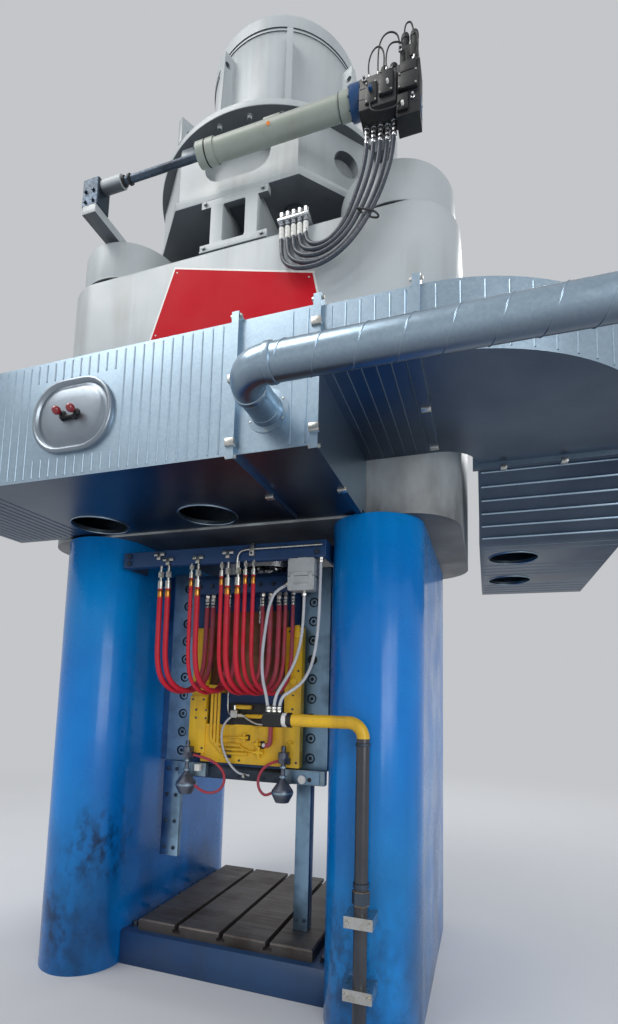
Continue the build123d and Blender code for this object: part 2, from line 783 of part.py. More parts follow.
# Service pipe down the right column, with a tee on its free end for the conduits
with BuildPart() as service_pipe:
    with BuildLine() as service_line:
        FilletPolyline(
            (pipe_start_x, pipe_y, pipe_z),
            (pipe_drop_x, pipe_y, pipe_z),
            (pipe_drop_x, pipe_y, pipe_foot),
            radius=pipe_bend,
        )
    with BuildSketch(Plane((pipe_start_x, pipe_y, pipe_z), z_dir=(1, 0, 0))):
        Circle(pipe_radius)
    sweep(path=service_line.wires()[0])
    with BuildSketch(Plane.XY.offset(pipe_fitting_z)):
        with Locations((pipe_drop_x, pipe_y)):
            RegularPolygon(pipe_fitting_radius, 6)
    extrude(amount=pipe_fitting_height)
    with BuildSketch(Plane((pipe_start_x, pipe_y, pipe_z), z_dir=(-1, 0, 0))):
        RectangleRounded(tee_size, tee_size, tee_round)
    extrude(amount=tee_width)
service_pipe.part.label = "service_pipe"
export_step(service_pipe.part, "parts/service_pipe.step")

# Clamps that hold the service pipe to the column's nose
clamp_front = pipe_y - pipe_radius - pipe_clamp_wall
clamp_back = column_nose + pipe_clamp_wall
with BuildPart() as pipe_clamps:
    for clamp_z in (upper_clamp_z, lower_clamp_z):
        with BuildSketch(Plane.XY.offset(clamp_z - pipe_clamp_height / 2)):
            with Locations((pipe_drop_x, (clamp_front + clamp_back) / 2)):
                Rectangle(pipe_clamp_width, clamp_back - clamp_front)
            with Locations((pipe_drop_x, pipe_y)):
                Circle(pipe_radius, mode=Mode.SUBTRACT)
            with Locations((column_x, 0)):
                SlotOverall(column_depth, column_width, rotation=90, mode=Mode.SUBTRACT)
        extrude(amount=pipe_clamp_height)
pipe_clamps.part.label = "pipe_clamps"
export_step(pipe_clamps.part, "parts/pipe_clamps.step")

# Drive pedestal: an open frame at the front and at the back, and the drive's tube between
upright_outer = pedestal_front_width / 2 - notch_depth
pedestal_middle = (crown_top + pedestal_top) / 2
with BuildPart() as drive_pedestal:
    for face_offset in (pedestal_half, -pedestal_half + pedestal_wall):
        with BuildSketch(Plane.XZ.offset(face_offset)):
            with Locations((0, pedestal_middle)):
                Rectangle(pedestal_front_width, pedestal_height)
                RectangleRounded(window_width, pedestal_height - 2 * pedestal_rim, window_round, mode=Mode.SUBTRACT)
            for side in (-1, 1):
                with Locations((side * (upright_outer + notch_depth / 2), pedestal_middle)):
                    Rectangle(notch_depth, pedestal_height - 2 * pedestal_rim, mode=Mode.SUBTRACT)
        extrude(amount=-pedestal_wall)
    with BuildSketch(Plane.XY.offset(crown_top)):
        for side in (-1, 1):
            with Locations((side * (upright_outer + window_width / 2) / 2, 0)):
                Rectangle(upright_outer - window_width / 2, 2 * pedestal_half - 2 * pedestal_wall)
        Circle(drive_tube_radius)
    extrude(amount=pedestal_height)
drive_pedestal.part.label = "drive_pedestal"
export_step(drive_pedestal.part, "parts/drive_pedestal.step")

# Octagonal plate and housing of the drive
with BuildPart() as drive_plate:
    with BuildSketch(Plane.XY.offset(pedestal_top)):
        Polygon(*octagon(plate_half, plate_corner), align=None)
        with Locations((plate_hole_x, plate_hole_set_back - plate_half)):
            Circle(plate_hole_radius, mode=Mode.SUBTRACT)
    extrude(amount=drive_plate_thickness)
drive_plate.part.label = "drive_plate"
export_step(drive_plate.part, "parts/drive_plate.step")

diagonal_distance = (2 * housing_half - plate_corner) / 2 ** 0.5
with BuildPart() as drive_housing:
    with BuildSketch(Plane.XY.offset(drive_plate_top)):
        Polygon(*octagon(housing_half, plate_corner), align=None)
    extrude(amount=housing_height)
    with BuildSketch(Plane((diagonal_distance * cos(radians(-45)), diagonal_distance * sin(radians(-45)),
                            drive_plate_top + housing_height / 2), x_dir=(1, 1, 0), z_dir=(1, -1, 0))):
        with Locations((housing_hole_shift, 0)):
            Circle(housing_hole_radius)
    extrude(amount=-housing_slot_depth, mode=Mode.SUBTRACT)
    with BuildSketch(Plane.XZ.offset(housing_half)):
        with Locations((0, drive_plate_top + housing_height / 2)):
            SlotOverall(housing_slot_width, housing_slot_height)
    extrude(amount=-housing_slot_depth, mode=Mode.SUBTRACT)
drive_housing.part.label = "drive_housing"
export_step(drive_housing.part, "parts/drive_housing.step")

# Ring flange over the housing, with a lifting lug on the left
lug_turn = radians(lug_angle)
lug_plane = Plane((0, 0, housing_top), x_dir=(cos(lug_turn), sin(lug_turn), 0),
                  z_dir=(sin(lug_turn), -cos(lug_turn), 0))
with BuildPart() as drive_ring:
    with BuildSketch(Plane.XY.offset(housing_top)):
        Circle(ring_radius)
    extrude(amount=ring_thickness)
    fillet(drive_ring.edges().filter_by(GeomType.CIRCLE), ring_round)
    with BuildSketch(lug_plane):
        with Locations((ring_radius - lug_width / 2, ring_thickness + lug_height / 2)):
            Rectangle(lug_width, lug_height)
            Circle(lug_hole_radius, mode=Mode.SUBTRACT)
    extrude(amount=lug_thickness / 2, both=True)
drive_ring.part.label = "drive_ring"
export_step(drive_ring.part, "parts/drive_ring.step")

# Motor drum with its radial fins
with BuildPart() as motor_drum:
    with BuildSketch(Plane.XY.offset(ring_top)):
        Circle(drum_radius)
    extrude(amount=drum_height)
    fin_turns = [fin_angle + count * 360 / fin_count for count in range(fin_count)]
    for turn in fin_turns:
        fin_plane = Plane((0, 0, ring_top), x_dir=(cos(radians(turn)), sin(radians(turn)), 0),
                          z_dir=(sin(radians(turn)), -cos(radians(turn)), 0))
        with BuildSketch(fin_plane):
            with BuildLine():
                Polyline(
                    (drum_radius - fin_root, 0),
                    (drum_radius + fin_reach, 0),
                    (drum_radius + fin_reach * fin_taper, fin_height),
                    (drum_radius - fin_root, fin_height),
                    close=True,
                )
            make_face()
            with Locations((drum_radius + fin_reach / 2, fin_height - fin_hole_drop)):
                Circle(fin_hole_radius, mode=Mode.SUBTRACT)
        extrude(amount=fin_thickness / 2, both=True)
motor_drum.part.label = "motor_drum"
export_step(motor_drum.part, "parts/motor_drum.step")

with BuildPart() as drum_cap:
    with BuildSketch(Plane.XY.offset(drum_top)):
        Circle(drum_radius + drum_cap_overhang)
    extrude(amount=drum_cap_height)
    fillet(drum_cap.edges().sort_by(Axis.Z)[-1], drum_cap_round)
drum_cap.part.label = "drum_cap"
export_step(drum_cap.part, "parts/drum_cap.step")

# Long cylinder along the front of the drive
cylinder_plane = Plane((cylinder_left, cylinder_y, cylinder_z), z_dir=(1, 0, 0))
with BuildPart() as cylinder_tube:
    with BuildSketch(cylinder_plane):
        Circle(cylinder_radius)
    extrude(amount=cylinder_right - cylinder_left)
    with BuildSketch(cylinder_plane):
        Circle(collar_radius)
    extrude(amount=long_collar_length)
    with BuildSketch(cylinder_plane.offset(long_collar_length / 2)):
        Circle(collar_radius)
        Circle(cylinder_radius, mode=Mode.SUBTRACT)
    extrude(amount=collar_groove, mode=Mode.SUBTRACT)
    with BuildSketch(cylinder_plane.offset(cylinder_right - cylinder_left - collar_length)):
        Circle(collar_radius)
    extrude(amount=collar_length)
    with BuildSketch(cylinder_plane.offset(cylinder_right - cylinder_left)):
        Circle(end_flange_radius)
    extrude(amount=end_flange_length)
cylinder_tube.part.label = "cylinder_tube"
export_step(cylinder_tube.part, "parts/cylinder_tube.step")

anchor_bottom = cylinder_z + anchor_rise - anchor_height
rod_plane = Plane((cylinder_left, cylinder_y, cylinder_z), z_dir=(-1, 0, 0))
rod_length = cylinder_left - rod_end
with BuildPart() as cylinder_rod:
    with BuildSketch(rod_plane):
        Circle(rod_radius)
    extrude(amount=rod_length)
    with BuildSketch(rod_plane.offset(rod_length)):
        Circle(rod_sleeve_radius)
    extrude(amount=rod_sleeve_length)
    anchor_x = rod_end - rod_sleeve_length + anchor_overlap - anchor_width / 2
    with BuildSketch(Plane.XY.offset(anchor_bottom)):
        with Locations((anchor_x, cylinder_y)):
            RectangleRounded(anchor_width, anchor_depth, anchor_round)
    extrude(amount=anchor_height)
cylinder_rod.part.label = "cylinder_rod"
export_step(cylinder_rod.part, "parts/cylinder_rod.step")

# Valve block at the cylinder's head, on a bracket from the right cap
valve_right = valve_left + valve_width
valve_middle = (valve_left + valve_right) / 2
valve_bottom = cylinder_z - valve_height
side_valve_middle = valve_right + side_valve_width / 2
side_valve_top = side_valve_bottom + side_valve_height
with BuildPart() as valve_block:
    with BuildSketch(Plane.XY.offset(valve_bottom)):
        with Locations((valve_middle, cylinder_y)):
            Rectangle(valve_width, valve_depth)
    extrude(amount=valve_height + valve_rise)
    with BuildSketch(Plane.XY.offset(side_valve_bottom)):
        with Locations((side_valve_middle, cylinder_y)):
            Rectangle(side_valve_width, side_valve_depth)
    extrude(amount=side_valve_height)
    with BuildSketch(Plane.XY.offset(side_valve_top)):
        with Locations((side_valve_middle, cylinder_y)):
            RectangleRounded(pilot_width, pilot_depth, valve_round)
    extrude(amount=pilot_height)
    solenoid_rows = (
        (side_valve_middle, side_valve_top + pilot_height),
        (valve_right - solenoid_spacing, cylinder_z + valve_rise),
    )
    for row_middle, row_bottom in solenoid_rows:
        with BuildSketch(Plane.XY.offset(row_bottom)):
            for side in (-1, 1):
                with Locations((row_middle + side * solenoid_spacing / 2, cylinder_y)):
                    Circle(solenoid_radius)
        extrude(amount=solenoid_length)
valve_block.part.label = "valve_block"
export_step(valve_block.part, "parts/valve_block.step")

# Arm that carries the rod's end from the left cap, and bracket that carries the valves from the right one
arm_top = anchor_bottom
cap_top = crown_top + cap_height
arm_x = anchor_x
arm_front = cylinder_y - anchor_depth / 2
with BuildPart() as cylinder_brackets:
    with BuildSketch(Plane.XY.offset(arm_top - arm_thickness)):
        with Locations((arm_x, (arm_front + arm_back) / 2)):
            Rectangle(arm_width, arm_back - arm_front)
    extrude(amount=arm_thickness)
    with BuildSketch(Plane.XY.offset(cap_top)):
        with Locations((arm_x, arm_back - arm_stand_depth / 2)):
            Rectangle(arm_width, arm_stand_depth)
    extrude(amount=arm_top - arm_thickness - cap_top)
    with BuildSketch(Plane.XY.offset(cap_top)):
        with Locations((valve_middle, cylinder_y + valve_depth / 2 + valve_bracket_depth / 2)):
            Rectangle(valve_width / 2, valve_bracket_depth)
    extrude(amount=cylinder_z - cap_top)
cylinder_brackets.part.label = "cylinder_brackets"
export_step(cylinder_brackets.part, "parts/cylinder_brackets.step")

# Bulkhead shelf on the crown's front edge with its row of unions
with BuildPart() as hose_bulkhead:
    with BuildSketch(Plane.XY.offset(crown_top)):
        with Locations((bulkhead_left + bulkhead_width / 2, crown_front - bulkhead_reach + bulkhead_depth / 2)):
            Rectangle(bulkhead_width, bulkhead_depth)
    extrude(amount=bulkhead_thickness)
    union_spots = [(bulkhead_left + union_inset + count * union_pitch, union_y) for count in range(union_count)]
    with BuildSketch(Plane.XY.offset(crown_top - bulkhead_thickness)):
        with Locations(*union_spots):
            RegularPolygon(union_radius, 6)
    extrude(amount=union_height)
hose_bulkhead.part.label = "hose_bulkhead"
export_step(hose_bulkhead.part, "parts/hose_bulkhead.step")


def duct_section(left, right, bottom, height, closed_left, closed_right):
    """A straight box duct along X, open at the ends that join the next section."""
    with BuildPart() as section:
        with BuildSketch(Plane.YZ.offset(left)):
            with Locations(((duct_front + duct_back) / 2, bottom + height / 2)):
                Rectangle(duct_depth, height)
        extrude(amount=right - left)
        inner_left = left + duct_wall if closed_left else left
        inner_right = right - duct_wall if closed_right else right
        with BuildSketch(Plane.YZ.offset(inner_left)):
            with Locations(((duct_front + duct_back) / 2, bottom + height / 2)):
                Rectangle(duct_depth - 2 * duct_wall, height - 2 * duct_wall)
        extrude(amount=inner_right - inner_left, mode=Mode.SUBTRACT)
    return section


# Front duct with two round intakes in its underside
front_section = duct_section(front_duct_left, front_duct_right, duct_bottom, duct_height, True, False)
with BuildPart() as front_duct:
    add(front_section.part)
    with BuildSketch(Plane.XY.offset(duct_bottom)):
        with Locations(*[(intake_x, intake_y) for intake_x in front_intakes]):
            Circle(intake_radius)
    extrude(amount=duct_wall, mode=Mode.SUBTRACT)
front_duct.part.label = "front_duct"
export_step(front_duct.part, "parts/front_duct.step")

# Drop box, which steps up to the shallower link duct
drop_section = duct_section(front_duct_right, drop_box_right, duct_bottom, duct_height, False, True)
with BuildPart() as drop_box:
    add(drop_section.part)
    with BuildSketch(Plane.YZ.offset(drop_box_right - duct_wall)):
        with Locations(((duct_front + duct_back) / 2, link_duct_bottom + link_duct_height / 2)):
            Rectangle(duct_depth - 2 * duct_wall, link_duct_height - 2 * duct_wall)
    extrude(amount=duct_wall, mode=Mode.SUBTRACT)
drop_box.part.label = "drop_box"
export_step(drop_box.part, "parts/drop_box.step")

link_section = duct_section(drop_box_right, link_duct_right, link_duct_bottom, link_duct_height, False, False)
link_duct = link_section
link_duct.part.label = "link_duct"
export_step(link_duct.part, "parts/link_duct.step")

# Bend that turns the duct to the back
with BuildPart() as duct_bend:
    with BuildSketch(Plane.YZ.offset(link_duct_right)):
        with Locations(((duct_front + duct_back) / 2, link_duct_bottom + link_duct_height / 2)):
            Rectangle(duct_depth, link_duct_height)
            Rectangle(duct_depth - 2 * duct_wall, link_duct_height - 2 * duct_wall, mode=Mode.SUBTRACT)
    revolve(axis=Axis((bend_centre_x, bend_centre_y, 0), (0, 0, 1)), revolution_arc=90)
duct_bend.part.label = "duct_bend"
export_step(duct_bend.part, "parts/duct_bend.step")

# Side duct that runs back beside the press: its underside comes down in a slope behind the bend's flange
slope_start = bend_centre_y + seam_thickness
slope_end = slope_start + side_slope_length
side_duct_top = link_duct_bottom + link_duct_height
with BuildPart() as side_duct:
    for inset, mode in ((0, Mode.ADD), (duct_wall, Mode.SUBTRACT)):
        with BuildSketch(Plane.YZ.offset(side_duct_left + inset)):
            with BuildLine():
                Polyline(
                    (bend_centre_y, link_duct_bottom + inset),
                    (slope_start, link_duct_bottom + inset),
                    (slope_end, duct_bottom + inset),
                    (side_duct_back - inset, duct_bottom + inset),
                    (side_duct_back - inset, side_duct_top - inset),
                    (bend_centre_y, side_duct_top - inset),
                    close=True,
                )
            make_face()
        extrude(amount=side_duct_right - side_duct_left - 2 * inset, mode=mode)
    with BuildSketch(Plane.XY.offset(duct_bottom)):
        with Locations(*[(side_duct_left + side_intake_inset, hole_y) for hole_y in side_intakes]):
            Circle(intake_radius)
    extrude(amount=duct_wall, mode=Mode.SUBTRACT)
side_duct.part.label = "side_duct"
export_step(side_duct.part, "parts/side_duct.step")

# Flanges where the duct sections join, flush at the back; the lower rims stop before the columns
flange_spots = (
    (front_duct_right, duct_bottom, duct_height),
    (drop_box_right - seam_thickness / 2, duct_bottom, duct_height),
    (link_duct_right, link_duct_bottom, link_duct_height),
)
rim_stop = min(column_nose, duct_back) - seam_reach
with BuildPart() as duct_flanges:
    for flange_x, flange_bottom, flange_height in flange_spots:
        flange_plane = Plane.YZ.offset(flange_x - seam_thickness / 2)
        with BuildSketch(flange_plane):
            with Locations(((duct_front + duct_back - seam_reach) / 2, flange_bottom + flange_height / 2)):
                Rectangle(duct_depth + seam_reach, flange_height + 2 * seam_reach)
            with Locations(((duct_front + duct_back) / 2, flange_bottom + flange_height / 2)):
                Rectangle(duct_depth, flange_height, mode=Mode.SUBTRACT)
            with Locations(((rim_stop + duct_back) / 2, flange_bottom - seam_reach / 2)):
                Rectangle(duct_back - rim_stop, seam_reach, mode=Mode.SUBTRACT)
        extrude(amount=seam_thickness)
    with BuildSketch(Plane.XZ.offset(-bend_centre_y)):
        with Locations(((side_duct_left + side_duct_right) / 2, link_duct_bottom + link_duct_height / 2)):
            Rectangle(duct_depth + 2 * seam_reach, link_duct_height + 2 * seam_reach)
            Rectangle(duct_depth, link_duct_height, mode=Mode.SUBTRACT)
    extrude(amount=-seam_thickness)
duct_flanges.part.label = "duct_flanges"
export_step(duct_flanges.part, "parts/duct_flanges.step")

# Oval inspection hatch with a raised rim and two ball knobs
hatch_plane = Plane.XZ.offset(-duct_front)
with BuildPart() as hatch_door:
    with BuildSketch(hatch_plane):
        with Locations((hatch_x, hatch_z)):
            RectangleRounded(hatch_width, hatch_height, (hatch_height - hatch_flat) / 2)
    extrude(amount=hatch_proud)
    with BuildSketch(hatch_plane.offset(hatch_proud)):
        with Locations((hatch_x, hatch_z)):
            inner_width = hatch_width - 2 * hatch_rim
            inner_height = hatch_height - 2 * hatch_rim
            RectangleRounded(inner_width, inner_height, (inner_height - hatch_flat) / 2)
    extrude(amount=-hatch_rim_proud, mode=Mode.SUBTRACT)
    hatch_floor = hatch_proud - hatch_rim_proud
    for side in (-1, 1):
        knob_x = hatch_x + side * knob_spacing / 2
        with BuildSketch(hatch_plane.offset(hatch_floor)):
            with Locations((knob_x, hatch_z)):
                Circle(knob_stem_radius)
        extrude(amount=knob_reach)
        with Locations((knob_x, duct_front - hatch_floor - knob_reach, hatch_z)):
            Sphere(knob_radius)
hatch_door.part.label = "hatch_door"
export_step(hatch_door.part, "parts/hatch_door.step")

# Round branch pipe from the drop box's front, which turns and runs off to the right
with BuildPart() as branch_pipe:
    with BuildLine() as branch_line:
        FilletPolyline(
            (branch_x, duct_front, branch_z),
            (branch_x, branch_y, branch_z),
            (branch_end_x, branch_y, branch_z),
            radius=branch_bend,
        )
    with BuildSketch(Plane((branch_x, duct_front, branch_z), z_dir=(0, -1, 0))):
        Circle(branch_radius)
    sweep(path=branch_line.wires()[0])
    with BuildSketch(Plane((branch_end_x, branch_y, branch_z), z_dir=(-1, 0, 0))):
        Circle(branch_radius + branch_collar)
    extrude(amount=seam_thickness)
branch_pipe.part.label = "branch_pipe"
export_step(branch_pipe.part, "parts/branch_pipe.step")

# Hangers that hold the front ducts to the crown
with BuildPart() as duct_hangers:
    with BuildSketch(Plane.XY.offset(duct_top - hanger_height)):
        with Locations(*[(place, (duct_back + crown_front) / 2) for place in hanger_places]):
            Rectangle(hanger_width, crown_front - duct_back)
    extrude(amount=hanger_height)
duct_hangers.part.label = "duct_hangers"
export_step(duct_hangers.part, "parts/duct_hangers.step")
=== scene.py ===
# %% [markdown]
# # Dressing a screw press
# The solids of the press come in ready made and in place. This lesson gives them their paint, steel, zinc
# and rubber, and adds what is too small or too soft for the solids: hoses, bolts, beads, seams and fittings.
# Every piece is in metres, in the same frame as the solids.

# %% Load the solids
import bmesh
import bpy
import numpy as np
from math import cos, pi, radians, sin
from mathutils import Matrix


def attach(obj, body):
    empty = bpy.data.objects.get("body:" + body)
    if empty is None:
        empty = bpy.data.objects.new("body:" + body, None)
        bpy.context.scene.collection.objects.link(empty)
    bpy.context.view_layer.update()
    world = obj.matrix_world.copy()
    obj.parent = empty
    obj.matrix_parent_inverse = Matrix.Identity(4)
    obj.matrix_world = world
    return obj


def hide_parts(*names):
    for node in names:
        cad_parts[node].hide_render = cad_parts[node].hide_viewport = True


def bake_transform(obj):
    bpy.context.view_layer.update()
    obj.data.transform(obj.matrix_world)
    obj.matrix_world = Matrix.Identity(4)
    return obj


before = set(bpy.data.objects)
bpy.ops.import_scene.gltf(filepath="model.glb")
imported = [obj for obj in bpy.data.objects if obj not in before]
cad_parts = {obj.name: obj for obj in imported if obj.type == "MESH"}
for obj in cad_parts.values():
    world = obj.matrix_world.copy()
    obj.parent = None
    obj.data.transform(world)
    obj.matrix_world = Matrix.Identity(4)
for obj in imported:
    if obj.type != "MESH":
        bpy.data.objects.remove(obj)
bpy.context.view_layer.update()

# %% [markdown]
# The camera stands where an operator's eye would be, close before the press, and looks up past the slide to
# the drive. A wide lens could be tilted far up instead, but the picture's own lines ask for a nearly level
# camera and a vertical shift, which keeps the columns almost upright.

# %% Camera at eye height
EYE = (1.411, -3.335, 1.56)
turn_left, look_up, roll = radians(18.64), radians(6.20), radians(1.51)
level = np.array([-sin(turn_left), cos(turn_left), 0.0])
side = np.array([cos(turn_left), sin(turn_left), 0.0])
upright = np.array([0.0, 0.0, 1.0])
forward = cos(look_up) * level + sin(look_up) * upright
top = -sin(look_up) * level + cos(look_up) * upright
right = cos(roll) * side + sin(roll) * top
top = cos(roll) * top - sin(roll) * side
camera_data = bpy.data.cameras.new("eye")
camera_data.lens = 18.67
camera_data.shift_y = 0.123
camera = bpy.data.objects.new("eye", camera_data)
camera.matrix_world = Matrix([[right[i], top[i], -forward[i], EYE[i]] for i in range(3)] + [[0, 0, 0, 1]])
bpy.context.scene.collection.objects.link(camera)
bpy.context.scene.camera = camera
print("camera looks along", np.round(forward, 3))

# %% [markdown]
# Every finish is a Principled shader fed by noise in the piece's own Object coordinates, so the pattern is
# at the same scale on every piece and stays put from every side. Pictures of paint could be used, but noise
# has no edges and no size limit. These two helpers make a material and wire one node at a time.

# %% Helpers that wire a material
def blank(name, roughness, metallic=0.0, coat=0.0, specular=0.5):
    """A new material with its constant values set on the shader's own sockets."""
    material = bpy.data.materials.new(name)
    material.use_nodes = True
    shader = material.node_tree.nodes["Principled BSDF"]
    shader.inputs["Roughness"].default_value = roughness
    shader.inputs["Metallic"].default_value = metallic
    shader.inputs["Coat Weight"].default_value = coat
    shader.inputs["Coat Roughness"].default_value = 0.12
    shader.inputs["Specular IOR Level"].default_value = specular
    return material


def wire(material, kind, values=None, links=None, **settings):
    """Add a node, set its sockets and settings, and join other nodes' outputs to it."""
    node = material.node_tree.nodes.new("ShaderNode" + kind)
    for key, value in settings.items():
        setattr(node, key, value)
    for key, value in (values or {}).items():
        node.inputs[key].default_value = value
    for key, source in (links or {}).items():
        material.node_tree.links.new(source, node.inputs[key])
    return node


print("inputs of the shader:", len(blank("trial", 0.5).node_tree.nodes["Principled BSDF"].inputs))
bpy.data.materials.remove(bpy.data.materials["trial"])

# %% [markdown]
# Between the noise and the shader the same few nodes stand again and again: noise read at a stretched place,
# a range spread over another, two values or two colours put together. Each gets a helper that returns its
# output, so that a recipe reads like a sum.

# %% Noise, ranges and mixtures
def noise(material, scale, detail, stretch=(1, 1, 1), shift=(0, 0, 0)):
    """Noise in Object coordinates, stretched and shifted: value = fractal noise of (place * stretch)."""
    place = wire(material, "TexCoord").outputs["Object"]
    moved = wire(material, "Mapping", {"Scale": stretch, "Location": shift}, {"Vector": place})
    made = wire(material, "TexNoise", {"Scale": scale, "Detail": detail, "Roughness": 0.55},
                {"Vector": moved.outputs[0]})
    return made.outputs["Fac"]


def ramp(material, value, low, high, out_low=0.0, out_high=1.0):
    """Spread the part of a value from low to high over a new range, and hold it at the ends."""
    ends = {"From Min": low, "From Max": high, "To Min": out_low, "To Max": out_high}
    return wire(material, "MapRange", ends, {"Value": value}).outputs["Result"]


def combined(material, first, second, operation="MULTIPLY"):
    """Product, or another operation, of two values; either may be a plain number."""
    made = wire(material, "Math", operation=operation)
    for socket, value in zip(made.inputs, (first, second)):
        if isinstance(value, (int, float)):
            socket.default_value = value
        elif value is not None:
            material.node_tree.links.new(value, socket)
    return made.outputs[0]


def mixed(material, share, first, second):
    """Colour mixed from two: first * (1 - share) + second * share."""
    made = wire(material, "Mix", data_type="RGBA")
    for socket, value in zip((made.inputs[0], made.inputs[6], made.inputs[7]), (share, first, second)):
        if isinstance(value, bpy.types.NodeSocket):
            material.node_tree.links.new(value, socket)
        else:
            socket.default_value = value if isinstance(value, float) else (*value, 1.0)
    return made.outputs[2]


trial = blank("trial", 0.5)
ramp(trial, noise(trial, 2.0, 3), 0.4, 0.6)
print("nodes of a shader with one spread noise:", len(trial.node_tree.nodes))
bpy.data.materials.remove(trial)

# %% [markdown]
# Dust and wear lie where the real machine gathers them: on what faces up and round a worn spot. What faces
# down gets painted shade, and a band low on a piece can be made darker. A mask is a value from 0 to 1 that
# says how much of a layer a point gets. It could be painted by hand, but a mask worked out from place and
# direction fits every piece at once.

# %% Layers, and masks by place and direction
def layered(material, tone, share, amount, colour):
    """A colour laid over a tone: tone * (1 - share * amount) + colour * share * amount."""
    return mixed(material, combined(material, share, amount), tone, colour)


def place_along(material, axis):
    """One of a point's Object coordinates: how far it lies along X, Y or Z."""
    place = wire(material, "TexCoord").outputs["Object"]
    return wire(material, "SeparateXYZ", links={"Vector": place}).outputs[axis]


def facing_up(material):
    """The upright part of a face's normal: 1 looks up, 0 to the side and -1 down."""
    facing = wire(material, "NewGeometry").outputs["Normal"]
    return wire(material, "SeparateXYZ", links={"Vector": facing}).outputs["Z"]


def downward(material):
    """1 on faces that look down, 0 on upright ones, by the upright part of the normal."""
    return ramp(material, facing_up(material), -0.4, -0.85)


def nearness(material, centre, reach):
    """1 at a point and 0 from a reach away on, with a ragged edge: 1 - distance / reach, shifted by noise."""
    place = wire(material, "TexCoord").outputs["Object"]
    away = wire(material, "VectorMath", {1: centre}, {0: place}, operation="DISTANCE").outputs["Value"]
    ragged = combined(material, away, combined(material, noise(material, 14, 6), reach), "ADD")
    return ramp(material, ragged, reach * 0.7, reach * 1.5, 1, 0)


trial = blank("trial", 0.5)
nearness(trial, (0, 0, 0), 0.3)
print("nodes of a shader with one worn spot:", len(trial.node_tree.nodes))
bpy.data.materials.remove(trial)

# %% [markdown]
# At the end of a recipe the mixed colour, the roughness and the bump are joined to the shader. Colours are
# written as a picture shows them, from 0 to 255, so that they read like the photo's, and Blender wants them
# linear.

# %% Into the shader
def into_shader(material, colour, roughness=None, height=None, distance=0.0, strength=0.0):
    """Join a colour, a roughness and a bump height to the shader."""
    links = material.node_tree.links
    shader = material.node_tree.nodes["Principled BSDF"]
    links.new(colour, shader.inputs["Base Color"])
    if roughness is not None:
        links.new(roughness, shader.inputs["Roughness"])
    if height is not None:
        bump = wire(material, "Bump", {"Distance": distance, "Strength": strength}, {"Height": height})
        links.new(bump.outputs["Normal"], shader.inputs["Normal"])


def rgb(red, green, blue):
    """Linear colour from the 0 to 255 numbers that a picture shows."""
    parts = np.array([red, green, blue]) / 255
    return tuple(float(v) for v in np.where(parts < 0.04045, parts / 12.92, ((parts + 0.055) / 1.055) ** 2.4))


print("blue as written:", [round(v, 3) for v in rgb(14, 100, 190)])

# %% [markdown]
# Each finish of the press is made once, by one call of a recipe, and kept under its own name, so that a piece
# can ask for it. Its colours are written as they look in plain light, because the lamps are set so that a
# colour comes out as written.

# %% A shelf for the finishes
finishes = {}


def keep(recipe, name, *values, **settings):
    """Make a finish by its recipe and keep it under its name."""
    finishes[name] = recipe(name, *values, **settings)
    print(name, "has", len(finishes[name].node_tree.nodes), "nodes")


print("finishes so far:", len(finishes))

# %% [markdown]
# Workshop paint is never one colour. It fades in large soft patches, dust runs down it in streaks, dark
# specks of scale stick to it, and its gloss changes from place to place. A paint can also get darker towards
# the bottom of a band, which on the crown is painted shade, and painted shade on what faces down. One
# recipe with these layers makes every paint here; only the colours, the amounts and the gloss change.

# %% Paint recipe
def paint(name, colour, faded, dust, gloss=(0.28, 0.5), streaks=0.5, specks=0.35, coat=0.0, patches=0.9,
          grime=0.0, grime_band=(0.0, 1.3), soot=0.0, scuffs=(), specular=0.5):
    """Painted metal: patches of a faded tone, upright dust streaks, specks, uneven gloss and orange peel.
    A band from its lower height up is made darker, which on the crown is painted shade; what faces down
    gets painted shade; and scuffs are (centre, reach, strength) of worn, dirty places."""
    material = blank(name, gloss[0], coat=coat, specular=specular)
    patch = ramp(material, noise(material, patches, 5), 0.42, 0.66)
    tone = mixed(material, patch, colour, faded)
    streak = ramp(material, noise(material, 7, 6, (1.0, 1.0, 0.07), (3.1, 1.7, 0.4)), 0.5, 0.78)
    cloud = ramp(material, noise(material, 1.7, 3, shift=(5, 2, 1)), 0.35, 0.7)
    tone = layered(material, tone, combined(material, streak, cloud), streaks, dust)
    dark = tuple(0.25 * v for v in dust)
    if grime:
        # Darker towards the bottom of the band; on the crown this is painted shade from the ducts in front.
        low = ramp(material, place_along(material, "Z"), *grime_band, 1.0, 0.0)
        ragged_patch = ramp(material, noise(material, 2.6, 8, (1, 1, 0.5), (7, 7, 2)), 0.3, 0.6)
        tone = layered(material, tone, combined(material, low, ragged_patch), grime, dark)
    for centre, reach, strength in scuffs:
        worn = ramp(material, noise(material, 24, 8, (1, 1, 0.6)), 0.42, 0.6)
        near = combined(material, nearness(material, centre, reach), worn)
        tone = layered(material, tone, near, strength, dark)
    speck = ramp(material, noise(material, 95, 2, shift=(9, 4, 7)), 0.70, 0.76)
    tone = layered(material, tone, speck, specks, dark)
    # Painted shade on what faces down.
    if soot:
        tone = layered(material, tone, downward(material), soot, rgb(30, 38, 50))
    uneven = ramp(material, noise(material, 3.5, 8, shift=(1, 8, 3)), 0.3, 0.7, gloss[0], gloss[1])
    into_shader(material, tone, uneven, noise(material, 140, 2), 0.0006, 0.25)
    return material
